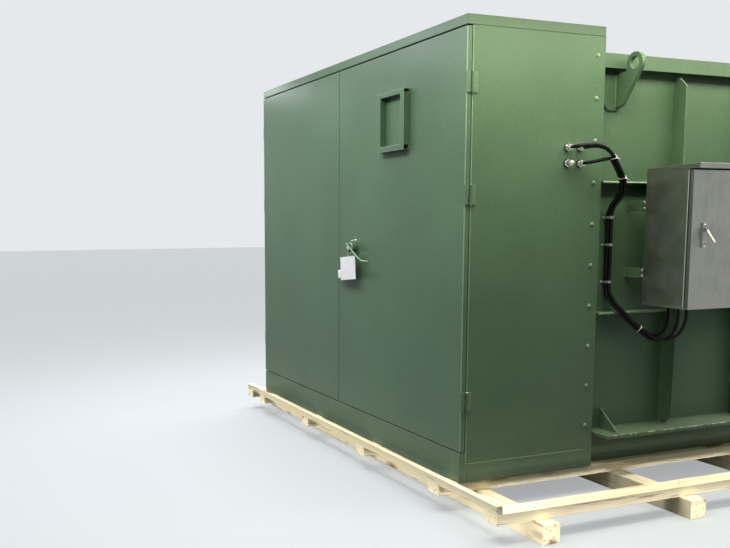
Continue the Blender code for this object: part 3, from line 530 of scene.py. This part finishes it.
# %% Panel bolts
bolt_count, bolt_pitch = 10, 0.1995
bolt_top = base + 2.010
bolt_row = front + 0.734
button_bolt = turn_shape([(0, -0.001), (0.0115, -0.001), (0.0115, 0.0012), (0.0108, 0.0016), (0.0088, 0.0016),
                          (0.0084, 0.0040), (0.0066, 0.0060), (0.0036, 0.0072), (0, 0.0075)])
for word, x, side in cabinet_sides:
    places = [(x, bolt_row, bolt_top - step * bolt_pitch) for step in range(bolt_count)]
    # The bolts get the lighter enamel, a painted highlight, though they are painted over with the panel.
    add_copies(f"panel_bolts_{word}", button_bolt, places, (side, 0, 0), lighter_highlight_enamel)
print("panel bolts:", bolt_count, "on each side")

# %% [markdown]
# ## Foot bands
# The foot of each side sheet is doubled by a thin band, 93 mm tall. Its top edge is chamfered, and that
# chamfer is the fine bright line that runs along the panel. A profile is drawn and extruded along it.

# %% Foot bands
band_top = base + 0.093
band_proud = 0.0028
band_start, band_end = front + 0.034, cabinet_back - 0.055
outline = [(0, base + 0.003), (band_proud, base + 0.004), (band_proud, band_top - band_proud), (0, band_top)]
for word, x, side in cabinet_sides:
    bm = bmesh.new()
    face = bm.faces.new([bm.verts.new((x + side * out, band_start, z)) for out, z in outline])
    grown = bmesh.ops.extrude_face_region(bm, geom=[face])["geom"]
    moved = [part for part in grown if isinstance(part, bmesh.types.BMVert)]
    bmesh.ops.translate(bm, verts=moved, vec=(0, band_end - band_start, 0))
    add_piece(f"foot_band_{word}", bm, enamel)
print("foot bands: 2")

# %% [markdown]
# ## Hinge pins
# A steel pin runs through the knuckles of every hinge. Its domed ends show above and below them.

# %% Hinge pins
hinge_line_y = front + 0.028
hinge_standoff = 0.009
hinge_heights = (0.390, 1.350, 1.850)
hinge_height = 0.092
box_knuckle = 0.0055
pin_end = turn_shape([(0, -0.001), (0.0048, -0.001), (0.0048, 0.0012), (0.0034, 0.0026), (0, 0.0030)], 16)
bm = bmesh.new()
for x in (right + hinge_standoff, left - hinge_standoff):
    for height in hinge_heights:
        for end, way in ((0.5, 1), (-0.5, -1)):
            stamp(bm, pin_end, (x, hinge_line_y, base + height + end * hinge_height), (0, 0, way))
for name in ("control_box_hinge_1", "control_box_hinge_2"):
    low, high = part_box(name)
    for z, way in ((high.z, 1), (low.z, -1)):
        stamp(bm, pin_end, (high.x - box_knuckle, high.y - box_knuckle, z), (0, 0, way))
add_piece("hinge_pins", bm, zinc)
print("hinge pins: 8")

# %% [markdown]
# ## Hinge leaves
# The leaves are steel plates on the sheet, painted like the panels. Each gets a thin skin of lighter enamel,
# a painted highlight, which stops short of the knuckles.

# %% Hinge leaves
knuckle_room, leaf_reach, leaf_plate, skin = 0.0092, 0.0280, 0.0040, 0.0005
leaf_half = hinge_height * 0.49


def leaf_highlight_skins(name, x, side, away, body):
    """Lighter skins, a painted highlight, on one column of leaves. away is 1 for the leaves on the panel, -1
    for those on the door.
    """
    bm = bmesh.new()
    xs = sorted((x + side * (leaf_plate - skin), x + side * (leaf_plate + skin)))
    ys = sorted((hinge_line_y + away * knuckle_room, hinge_line_y + away * leaf_reach))
    for height in hinge_heights:
        z = base + height
        add_block(bm, (xs[0], ys[0], z - leaf_half), (xs[1], ys[1], z + leaf_half))
    return add_piece(name, bm, hinge_highlight_enamel, body)


for word, x, side in cabinet_sides:
    leaf_highlight_skins(f"panel_leaf_faces_{word}", x, side, 1, "transformer")
    leaf_highlight_skins(f"door_leaf_faces_{word}", x, side, -1, f"door_{word}")
print("hinge leaves:", 4 * len(hinge_heights))

# %% [markdown]
# ## Folds by the hinges
# The door's flange and the panel's return are the two long folds beside the hinges. A thin strip in a lighter
# enamel is let into each fold, a painted highlight that draws a fine bright line down each.

# %% Fold lines
strip_radius, strip_depth, strip_end = 0.0024, 0.0015, 0.002
panel_front = front + 0.031


def fold_highlight_line(name, carrier, x, side, y, body):
    """A lighter strip down the fold of a carrier, a painted highlight, as tall as the carrier is."""
    low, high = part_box(carrier)
    bm = bmesh.new()
    heights = (low.z + strip_end, high.z - strip_end)
    sweep(bm, [(x - side * strip_depth, y + strip_depth, z) for z in heights], strip_radius, sides=12)
    return add_piece(name, bm, fold_highlight_enamel, body)


for word, x, side in cabinet_sides:
    fold_highlight_line(f"door_fold_{word}", f"door_{word}", x, side, front, f"door_{word}")
    fold_highlight_line(f"panel_fold_{word}", f"cabinet_side_{word}", x, side, panel_front, "transformer")
print("fold lines: 4")

# %% [markdown]
# ## Welds
# The ribs and rails are stitch-welded to the tank wall, and the lugs, shelves and brackets are welded
# all along. A weld bead is a row of small overlapping ripples, so its radius goes up and down every
# few millimetres along the seam. A random part of that keeps it from looking like a screw thread.

# %% Weld beads
weld_hand = random.Random(5)
rib_bay, rib_plate, rib_top = 0.500, 0.012, 1.940
rail_plate, rail_heights, rail_reach, rail_clearance = 0.012, (0.768, 1.416), 0.045, 0.025
shelf_reach, shelf_clearance = 0.143, 0.012
gusset_plate, gusset_height, gusset_setback = 0.012, 0.105, 0.091
lug_setback, lug_plate, lug_pad, pad_corner = 0.125, 0.022, 0.010, 0.026
bead_radius, lug_bead, shelf_bead = 0.0042, 0.0062, 0.0050
ripple = 0.008


def add_bead(bm, start, end, radius=bead_radius):
    """A rippled bead from start to end."""
    start, end = Vector(start), Vector(end)
    steps = max(2, round((end - start).length / ripple))
    points = [start.lerp(end, index / steps) for index in range(steps + 1)]
    radii = [radius * weld_hand.uniform(0.85, 1.12) * (1 if index % 2 else 0.86)
             for index in range(steps + 1)]
    sweep(bm, points, radii, sides=6)


def add_stitches(bm, start, end, run=0.055, pitch=0.150):
    """Short beads with gaps between them, from start to end."""
    start, end = Vector(start), Vector(end)
    length = (end - start).length
    count = max(1, int(length / pitch))
    for index in range(count + 1):
        near = min(index * length / count, length - run)
        add_bead(bm, start.lerp(end, near / length), start.lerp(end, (near + run) / length))


def lug_welds(bm, wall, side, y, name):
    """Both sides of the lug's plate, and round its pad."""
    low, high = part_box(name)
    pad = wall + side * lug_pad
    for edge in (y - lug_plate / 2, y + lug_plate / 2):
        add_bead(bm, (pad, edge, low.z + 0.012), (pad, edge, base + rib_top + 0.002), lug_bead)
    rim = [(low.y, base + rib_top), (low.y, low.z + pad_corner), (low.y + pad_corner, low.z),
           (high.y - pad_corner, low.z), (high.y, low.z + pad_corner), (high.y, base + rib_top)]
    for (y0, z0), (y1, z1) in zip(rim, rim[1:]):
        add_bead(bm, (wall, y0, z0), (wall, y1, z1))


def side_welds(word, wall, side):
    """The welds of the ribs, rails, shelf, gussets and lugs on one wall."""
    bm = bmesh.new()
    for bay in (1, 2):
        for edge in (-rib_plate / 2, rib_plate / 2):
            y = cabinet_back + bay * rib_bay + edge
            add_stitches(bm, (wall, y, shelf_top + 0.005), (wall, y, base + rib_top - 0.005))
    for height in rail_heights:
        for edge in (-rail_plate / 2, rail_plate / 2):
            z = base + height + edge
            add_stitches(bm, (wall, cabinet_back + rail_clearance, z), (wall, tank_back - rail_clearance, z))
    add_bead(bm, (wall, cabinet_back + shelf_clearance, shelf_top),
             (wall, tank_back - shelf_clearance, shelf_top), shelf_bead)
    for y in (cabinet_back + gusset_setback, tank_back - gusset_setback - gusset_plate):
        for edge in (y, y + gusset_plate):
            add_bead(bm, (wall, edge, shelf_top), (wall, edge, shelf_top + gusset_height))
            add_bead(bm, (wall, edge, shelf_top), (wall + side * shelf_reach, edge, shelf_top))
    lug_welds(bm, wall, side, cabinet_back + lug_setback, f"lifting_lug_{word}_front")
    lug_welds(bm, wall, side, tank_back - lug_setback, f"lifting_lug_{word}_rear")
    return add_piece(f"welds_{word}", bm, weld_enamel)


for word, wall, side in tank_sides:
    made = side_welds(word, wall, side)
    print(made.name, len(made.data.polygons), "faces")

# %% [markdown]
# ## Rail noses
# The edges of the two flat bars are ground round before painting. A round strip in a lighter enamel is
# swept along each edge, a painted highlight that draws the light line along each bar.

# %% Rail noses
nose_radius = 0.0064
nose_start, nose_end = cabinet_back + rail_clearance + 0.001, tank_back - rail_clearance - 0.001
for word, wall, side in tank_sides:
    bm = bmesh.new()
    x = wall + side * (rail_reach - nose_radius * 0.5)
    for height in rail_heights:
        sweep(bm, [(x, y, base + height) for y in (nose_start, nose_end)], nose_radius, sides=14)
    # The noses get the lighter enamel: a painted highlight.
    add_piece(f"rail_noses_{word}", bm, lighter_highlight_enamel)
print("rail noses: 4")

# %% [markdown]
# ## Bracket bolts and welds
# Two folded brackets carry the box. Each is welded to the tank wall, and two hexagon bolts at each end
# hold the box to it. A hexagon head is a six-sided turned shape with its corners taken down.

# %% Bracket fittings
def turn_hexagon(radius, height, crown=0.0015):
    """A six-sided bolt head whose upper corners are taken down."""
    return turn_shape([(0, -0.001), (radius, -0.001), (radius, height - crown), (radius * 0.86, height),
                       (0, height)], 6)


washer = turn_shape([(0, -0.001), (0.0085, -0.001), (0.0085, 0.0012), (0.0080, 0.0016), (0, 0.0016)])
hexagon = turn_hexagon(0.0066, 0.0055)
bm = bmesh.new()
beads = bmesh.new()
for name in ("control_box_bracket_lower", "control_box_bracket_upper"):
    low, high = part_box(name)
    for height in (low.z + 0.012, high.z - 0.010):
        for y, way in ((low.y, -1), (high.y, 1)):
            place = Vector((high.x - 0.014, y, height))
            stamp(bm, washer, place, (0, way, 0))
            stamp(bm, hexagon, place + Vector((0, way * 0.0014, 0)), (0, way, 0))
    for y in (low.y, high.y):
        add_bead(beads, (tank_right, y, low.z), (tank_right, y, high.z))
add_piece("bracket_bolts", bm, zinc)
add_piece("bracket_welds", beads, weld_enamel)
print("bracket bolts: 8")

# %% [markdown]
# ## Gland caps
# Each cable gland has a rubber seal under its nut and a second, smaller hexagon cap that squeezes the
# conduit. The fourth gland holds no conduit: a domed plug closes it.

# %% Gland fittings
bore = 0.0100
seal_ring = turn_shape([(0, 0), (0.0195, 0), (0.0198, 0.0008), (0.0195, 0.0016), (0, 0.0016)], 24)
cap = turn_shape([(bore, 0), (0.0158, 0), (0.0162, 0.0015), (0.0162, 0.0105), (0.0140, 0.0130),
                  (bore, 0.0130), (bore, 0)], 6)
collar = turn_shape([(bore, 0), (0.0148, 0), (0.0150, 0.0020), (0.0150, 0.0050), (bore, 0.0056),
                     (bore, 0)], 24)
plug = turn_shape([(0, -0.002), (0.0112, -0.002), (0.0112, 0.0020), (0.0090, 0.0046), (0.0045, 0.0060),
                   (0, 0.0063)])
collar_from, cap_from = 0.0105, 0.0185
seals, caps = bmesh.new(), bmesh.new()
for number in (1, 2, 3, 4):
    low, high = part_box(f"cable_gland_{number}")
    middle = (low + high) / 2
    stamp(seals, seal_ring, (right, middle.y, middle.z), (1, 0, 0))
    if number == 4:
        stamp(caps, plug, (high.x, middle.y, middle.z), (1, 0, 0))
        continue
    stamp(caps, collar, (low.x + collar_from, middle.y, middle.z), (1, 0, 0))
    stamp(caps, cap, (low.x + cap_from, middle.y, middle.z), (1, 0, 0))
add_piece("gland_seals", seals, rubber)
add_piece("gland_caps", caps, nickel)
print("gland caps: 4")

# %% [markdown]
# ## Under the control box
# The conduits go up into the box's underside through short rubber grommets. The end of each conduit's
# own mesh says where its grommet has to be.

# %% Grommets under the box
entry = turn_shape([(0.0092, 0), (0.0140, 0), (0.0140, 0.0045), (0.0128, 0.0055), (0.0128, 0.0110),
                    (0.0112, 0.0140), (0.0092, 0.0140), (0.0092, 0)], 12)
places = []
for number in (1, 2, 3):
    mesh = nodes[f"conduit_{number}"].data
    tops = [v.co for v in mesh.vertices if v.co.z > box_low.z - 0.002 and v.co.y > box_low.y]
    middle = sum(tops, Vector()) / len(tops)
    places.append((middle.x, middle.y, box_low.z - 0.0004))
add_copies("box_glands", entry, places, (0, 0, -1), rubber)
print("grommets under the box:", len(places))

# %% [markdown]
# ## Cable ties
# White nylon ties hold the three conduits together where they bend. A tie is a thin strap drawn tight
# round the bundle, with a square head and a cut tail. The strap goes round three circles, so its line
# is three arcs, and three thin sweeps side by side make it flat.

# %% Cable ties
cabinet_corner = Vector((right, front, base))
tie_head = Vector((0.0035, 0.0035, 0.0030))
bundle_spacing = 0.018
conduit_radius = 0.0085
tie_places = (((0.0930, 0.764, 1.529), (-0.27, 0.68, -0.68)), ((0.0570, 0.856, 1.440), (-0.42, 0.60, -0.68)),
              ((0.0690, 0.996, 0.695), (0.48, 0.70, -0.53)))


def tie_line(middle, run):
    """Closed line round the bundle, square to its run: an arc round each conduit in turn."""
    outwards = (Vector((1, 0, 0)) - run * run.x).normalized()
    sideways = run.cross(outwards)

    def aside(length, angle):
        turn = math.radians(angle)
        return length * (outwards * math.cos(turn) + sideways * math.sin(turn))

    line = [middle + aside(bundle_spacing / math.sqrt(3), corner) + aside(conduit_radius + 0.0010, angle)
            for corner in (0, 120, 240) for angle in range(corner - 60, corner + 61, 20)]
    return line, outwards


bm = bmesh.new()
for place, run in tie_places:
    run = Vector(run).normalized()
    line, outwards = tie_line(cabinet_corner + Vector(place), run)
    for shift in (-0.0014, 0, 0.0014):
        sweep(bm, [point + run * shift for point in line], 0.0011, sides=6, closed=True)
    head = line[3] + outwards * 0.001
    add_block(bm, head - tie_head, head + tie_head)
    sweep(bm, [head, head + outwards * 0.008 + run * 0.004, head + outwards * 0.018 + run * 0.004], 0.0012, 6)
add_piece("cable_ties", bm, nylon)
print("cable ties:", len(tie_places))

# %% [markdown]
# ## Clip screws
# Each strap on the tank wall is held by two pan-head screws, one through each tab.

# %% Clip screws
pan_head = turn_shape([(0, -0.001), (0.0046, -0.001), (0.0046, 0.0014), (0.0038, 0.0028), (0.0012, 0.0032),
                       (0.0010, 0.0020), (0, 0.0020)], 16)
tab_plate, tab_middle = 0.002, 0.006
places = []
for number in (1, 2, 3):
    low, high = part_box(f"conduit_clip_{number}")
    for y in (low.y + tab_middle, high.y - tab_middle):
        places.append((low.x + tab_plate, y, (low.z + high.z) / 2))
add_copies("clip_screws", pan_head, places, (1, 0, 0), zinc)
print("clip screws:", len(places))

# %% [markdown]
# ## Handle fittings
# The hub of the handle turns in a round escutcheon. A bright stud with a nut stands just above it, and
# takes a padlock. Both stay on the door when the handle turns.

# %% Escutcheon and stud
ring_inside, ring_outside, stud_height = 0.0262, 0.0440, 0.0375
escutcheon = turn_shape([(ring_inside, 0.0002), (ring_outside, 0.0002), (ring_outside, 0.0020),
                         (0.0415, 0.0036), (ring_inside, 0.0036), (ring_inside, 0.0002)], 40)
stud = turn_shape([(0, 0), (0.0088, 0), (0.0088, 0.0060), (0.0076, 0.0072), (0.0048, 0.0072),
                   (0.0048, 0.0290), (0.0036, 0.0306), (0, 0.0306)], 18)
stud_place = (hub.x + 0.006, front - 0.0034, hub.z + stud_height)
add_copies("handle_escutcheon", escutcheon, [(hub.x, front, hub.z)], (0, -1, 0), enamel, "door_right")
add_copies("handle_stud", stud, [stud_place], (0, -1, 0), zinc, "door_right")
print("escutcheon radius:", ring_outside)

# %% [markdown]
# ## The second tag
# A smaller blank card hangs behind the first one and shows past its lower left corner. Card curls as it
# dries, so the sheet is a grid whose points are lifted along a curve.

# %% Second tag
behind_first = 0.0045
tag_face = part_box("door_tag")[0].y + behind_first
lean = math.radians(5)
across = Vector((math.cos(lean), 0, math.sin(lean)))
down = Vector((math.sin(lean), 0, -math.cos(lean)))
tag_top = Vector((hub.x - 0.032, tag_face, hub.z - 0.053))
card_width, card_height, card_curl = 0.100, 0.052, 0.004
card_aside, card_drop = 0.149, 0.072
corner = tag_top - across * card_aside + down * card_drop
bm = bmesh.new()
columns, rows = 10, 6


def card_point(i, j):
    """A point of the card, lifted where the card curls."""
    flat = corner + across * (card_width * i / columns) + down * (card_height * j / rows)
    return flat + Vector((0, card_curl * (1 - i / columns) ** 2, 0))


verts = [[bm.verts.new(card_point(i, j)) for i in range(columns + 1)] for j in range(rows + 1)]
for row, below in zip(verts, verts[1:]):
    for i in range(columns):
        bm.faces.new((row[i], row[i + 1], below[i + 1], below[i]))
second_tag = add_piece("second_tag", bm, card, "door_right")
thick = second_tag.modifiers.new("thickness", "SOLIDIFY")
thick.thickness = 0.0006
print("second tag:", card_width, "x", card_height)

# %% [markdown]
# ## Control box fittings
# A rubber seal closes the gap between the door and the shell, and it is the dark line round the door.
# The shell's front edge is hemmed, and the hem and the fold band below it are drawn in a lighter stainless,
# a painted highlight. The lever's plate has a keyhole and two screws, and two small rivets sit near the
# door's free edge.

# %% Control box fittings
door_low, door_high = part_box("control_box_door")
lever_low, lever_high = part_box("control_box_lever")
pivot = Vector((lever_low.x, (lever_low.y + lever_high.y) / 2, lever_high.z - 0.010))
shell_depth = 0.260
shell_face = box_low.x + shell_depth
hinge_room = 0.012


def add_frame(bm, low, high, width, axis):
    """A closed rectangular strip between two corners, square to an axis, drawn as four blocks."""
    a, b = [i for i in range(3) if i != axis]
    for side in (0, 1):
        for one in (a, b):
            start, end = Vector(low), Vector(high)
            if side:
                start[one] = high[one] - width
            else:
                end[one] = low[one] + width
            if one == b:
                start[a] += width
                end[a] -= width
            add_block(bm, start, end)


bm = bmesh.new()
seal_edge, seal_width = 0.004, 0.010
add_frame(bm, (shell_face + 0.0008, door_low.y + seal_edge, door_low.z + seal_edge),
          (shell_face + 0.0062, door_high.y - hinge_room - seal_edge, door_high.z - seal_edge), seal_width, 0)
add_piece("control_box_seal", bm, rubber, "control_box_door")
hem_radius = 0.0028
hem_x = shell_face - hem_radius
bm = bmesh.new()
for y in (box_low.y - 0.0008, door_high.y - hinge_room + 0.0008):
    sweep(bm, [(hem_x, y, box_low.z + 0.002), (hem_x, y, door_high.z)], hem_radius, sides=10)
add_block(bm, (box_low.x + 0.004, box_low.y - 0.0012, box_low.z),
          (hem_x - 0.016, box_low.y, box_low.z + 0.014))
# The hem and fold band are in the lighter stainless: a painted highlight.
add_piece("control_box_hem", bm, hem_highlight_stainless)
plate_face = pivot.x - 0.0003
keyhole = Vector((plate_face, pivot.y, pivot.z - 0.062))
key_ring = turn_shape([(0, -0.0005), (0.0062, -0.0005), (0.0062, 0.0010), (0.0050, 0.0014), (0, 0.0014)], 20)
key_core = turn_shape([(0, 0), (0.0036, 0), (0.0036, 0.0018), (0, 0.0018)], 12)
bm = bmesh.new()
stamp(bm, key_ring, keyhole, (1, 0, 0))
for rise in (0.022, -0.080):
    stamp(bm, pan_head, (plate_face, pivot.y, pivot.z + rise), (1, 0, 0))
add_piece("lever_plate_screws", bm, nickel, "control_box_door")
bm = bmesh.new()
stamp(bm, key_core, keyhole, (1, 0, 0))
add_block(bm, keyhole - Vector((0, 0.0010, 0.009)), keyhole + Vector((0.0017, 0.0010, 0)))
add_piece("lever_keyhole", bm, rubber, "control_box_door")
rivet = turn_shape([(0, -0.001), (0.0040, -0.001), (0.0038, 0.0010), (0.0020, 0.0018), (0, 0.0020)], 14)
rivet_heights = (1.388, 0.880)
places = [(plate_face - 0.008, box_low.y + 0.029, base + height) for height in rivet_heights]
add_copies("control_box_rivets", rivet, places, (1, 0, 0), stainless, "control_box_door")
print("control box fittings: seal, hem, screws, keyhole, rivets")

# %% [markdown]
# ## Door seals
# A foamed rubber strip runs round the back edge of each cabinet door. It shows when the doors are open.

# %% Door seals
inset, strip_width, strip_front, strip_back = 0.006, 0.012, front + 0.0254, front + 0.0290
for name in ("door_right", "door_left"):
    low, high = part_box(name)
    first, last = (low.x, right) if name == "door_right" else (left, high.x)
    bm = bmesh.new()
    add_frame(bm, (first + inset, strip_front, low.z + inset), (last - inset, strip_back, high.z - inset),
              strip_width, 1)
    add_piece(f"{name}_seal", bm, rubber, name)
print("door seals: 2")

# %% [markdown]
# ## Radiator flutes
# A radiator fin is two pressed sheets welded at their rims, with oil running down shallow channels
# between them. Each channel shows as an upright swelling on both faces of the fin.

# %% Radiator flutes
fin_count, fin_thickness, fin_depth, flute_count = 10, 0.012, 0.300, 5
flute_radius, flute_rise = 0.0145, 0.0035
flute_start, flute_full = 0.060, 0.075
slim = flute_radius - flute_rise
for word in ("right", "left"):
    low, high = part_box(f"radiator_{word}")
    pitch = (high.x - low.x) / fin_count
    heights = (low.z + flute_start, low.z + flute_full, high.z - flute_full, high.z - flute_start)
    bm = bmesh.new()
    for fin in range(fin_count):
        for side in (-1, 1):
            x = low.x + pitch * (fin + 0.5) + side * (fin_thickness / 2 - slim)
            for flute in range(flute_count):
                y = high.y - fin_depth + fin_depth * (flute + 1) / (flute_count + 1)
                sweep(bm, [(x, y, z) for z in heights], [slim, flute_radius, flute_radius, slim], sides=12)
    made = add_piece(f"radiator_flutes_{word}", bm, tank_enamel)
    print(made.name, len(made.data.polygons), "faces")

# %% [markdown]
# ## Nails
# Two nails hold each crossing of the pallet's timbers, and one holds the front strip to each beam. Their
# heads are driven almost flush with the wood and have begun to rust.

# %% Nails
nail_hand = random.Random(11)
nail = turn_shape([(0, -0.002), (0.0048, -0.002), (0.0048, 0.0004), (0.0030, 0.0008), (0, 0.0009)], 12)
places = []
runners = [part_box(f"runner_{number}") for number in (1, 2, 3, 4)]
beams = [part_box(f"skid_beam_{number}") for number in (1, 2, 3, 4, 5, 6)]
strip_low, strip_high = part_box("front_strip")
for runner_low, runner_high in runners:
    for beam_low, beam_high in beams:
        for share in (0.3, 0.7):
            x = beam_low.x + share * (beam_high.x - beam_low.x) + nail_hand.uniform(-0.008, 0.008)
            y = runner_low.y + (1 - share) * (runner_high.y - runner_low.y) + nail_hand.uniform(-0.010, 0.010)
            places.append((x, y, beam_high.z))
for beam_low, beam_high in beams:
    x = (beam_low.x + beam_high.x) / 2 + nail_hand.uniform(-0.02, 0.02)
    places.append((x, (strip_low.y + strip_high.y) / 2, strip_high.z))
add_copies("pallet_nails", nail, places, (0, 0, 1), nail_steel)
print("nails:", len(places))

# %% [markdown]
# ## The studio
# A plain pale floor and a plain pale world. The light is soft and comes mostly from above, as in a tall
# workshop, so the world is brighter overhead than at the horizon. The floor and the world look pale
# to the camera and in reflections. For the rest of the light they are darker, as a workshop floor is.
# The floor shows a little light of its own besides the lamps', and keeps the pallet's shadow.

# %% Floor
def seen_directly(add):
    """1 for camera, glossy and transmitted rays, and 0 for diffuse ones."""
    camera_ray, glossy_ray, through_ray = [add("LightPath", {}, f"Is {kind} Ray")
                                           for kind in ("Camera", "Glossy", "Transmission")]
    seen = add("Math", {0: camera_ray, 1: glossy_ray}, operation="MAXIMUM")
    return add("Math", {0: seen, 1: through_ray}, operation="MAXIMUM")


floor_mesh = bpy.data.meshes.new("floor")
bm = bmesh.new()
bmesh.ops.create_grid(bm, size=40)
bm.to_mesh(floor_mesh)
bm.free()
floor = bpy.data.objects.new("floor", floor_mesh)
bpy.context.scene.collection.objects.link(floor)
floor_finish, add, place = new_finish("pale_floor")
seen = seen_directly(add)
tint = add("Mix", {"Factor": seen, 6: colour("#303B46"), 7: colour("#8E9396")}, 2, data_type="RGBA")
lift = add("Math", {0: seen, 1: 0.46}, operation="MULTIPLY")
surface = add("BsdfPrincipled", {"Base Color": tint, "Roughness": 0.8, "Specular IOR Level": 0.2,
                                 "Emission Color": colour("#E9ECEE"), "Emission Strength": lift})
add("OutputMaterial", {"Surface": surface}, None)
floor.data.materials.append(floor_finish)
print("floor ready")

# %% World
world = bpy.data.worlds.new("world")
bpy.context.scene.world = world
world.use_nodes = True
world.node_tree.nodes.clear()
add = partial(add_node, world.node_tree)
direction = add("TexCoord", {}, "Generated")
upward = add("SeparateXYZ", {"Vector": direction}, "Z")
climb = add("MapRange", {"Value": upward, "From Min": 0.15, "From Max": 0.95})
sky = add("Mix", {"Factor": climb, 6: colour("#2B3134"), 7: colour("#D4D5D1")}, 2, data_type="RGBA")
shown = add("Mix", {"Factor": seen_directly(add), 6: sky, 7: colour("#E6E9EB")}, 2, data_type="RGBA")
light = add("Background", {"Color": shown, "Strength": 1.0})
add("OutputWorld", {"Surface": light}, None)
print("world ready")

# %% [markdown]
# ## Lamps
# Long softboxes hang just off each side, a little above the cabinet. A softbox that is near lights the
# top of a panel much more than its foot, which is how these panels look under a bright factory roof.
# The one on the control box's side is the warmest. A broad, soft sun lights what faces up, and two low,
# narrow kick lights pick out the pale timber, which glows against the dark paint.

# %% Lamps
def add_softbox(name, place, target, size, power, tint, spread=180):
    """A rectangular lamp that the camera doesn't see, turned to its target."""
    lamp = bpy.data.lights.new(name, "AREA")
    lamp.shape = "RECTANGLE"
    lamp.size, lamp.size_y = size
    lamp.energy = power
    lamp.color = colour(tint)[:3]
    lamp.spread = math.radians(spread)
    box = bpy.data.objects.new(name, lamp)
    box.location = place
    box.visible_camera = False
    box.rotation_euler = (Vector(target) - Vector(place)).to_track_quat("-Z", "Y").to_euler()
    bpy.context.scene.collection.objects.link(box)
    return box


unit_middle, cabinet_middle = 0.15, -0.2
softboxes = (
    ("side_light", right + 0.45, unit_middle, unit_middle, 2.40, (0.4, 4.2), 58, "#FFF7E2"),
    ("front_light", cabinet_middle, front - 1.2, front - 1.0, 2.75, (3.6, 0.6), 71, "#F8FBFF"),
    ("rear_light", cabinet_middle, tank_back + 1.3, tank_back + 1.1, 2.50, (3.6, 0.6), 80, "#FAFBFF"),
    ("left_light", left - 0.7, unit_middle, unit_middle, 2.42, (0.5, 4.2), 62, "#FAFBFF"))
for name, x, y, aim_y, z, size, power, tint in softboxes:
    add_softbox(name, (x, y, z), (x, aim_y, 0.0), size, power, tint)
kick_z, kick_size, kick_power, kick_spread = 0.04, (3.6, 0.06), 1.6, 16
kicks = (("right_kick", (right + 1.4, 0.0, kick_z), (right, 0.0, kick_z)),
         ("front_kick", (0.0, front - 1.3, kick_z), (0.0, front, kick_z)))
for name, place, target in kicks:
    add_softbox(name, place, target, kick_size, kick_power, "#FFFDF6", kick_spread)
sun = bpy.data.lights.new("roof_light", "SUN")
sun.energy = 1.0
sun.angle = math.radians(70)
roof_light = bpy.data.objects.new("roof_light", sun)
bpy.context.scene.collection.objects.link(roof_light)
print("lamps:", len(softboxes) + len(kicks) + 1)
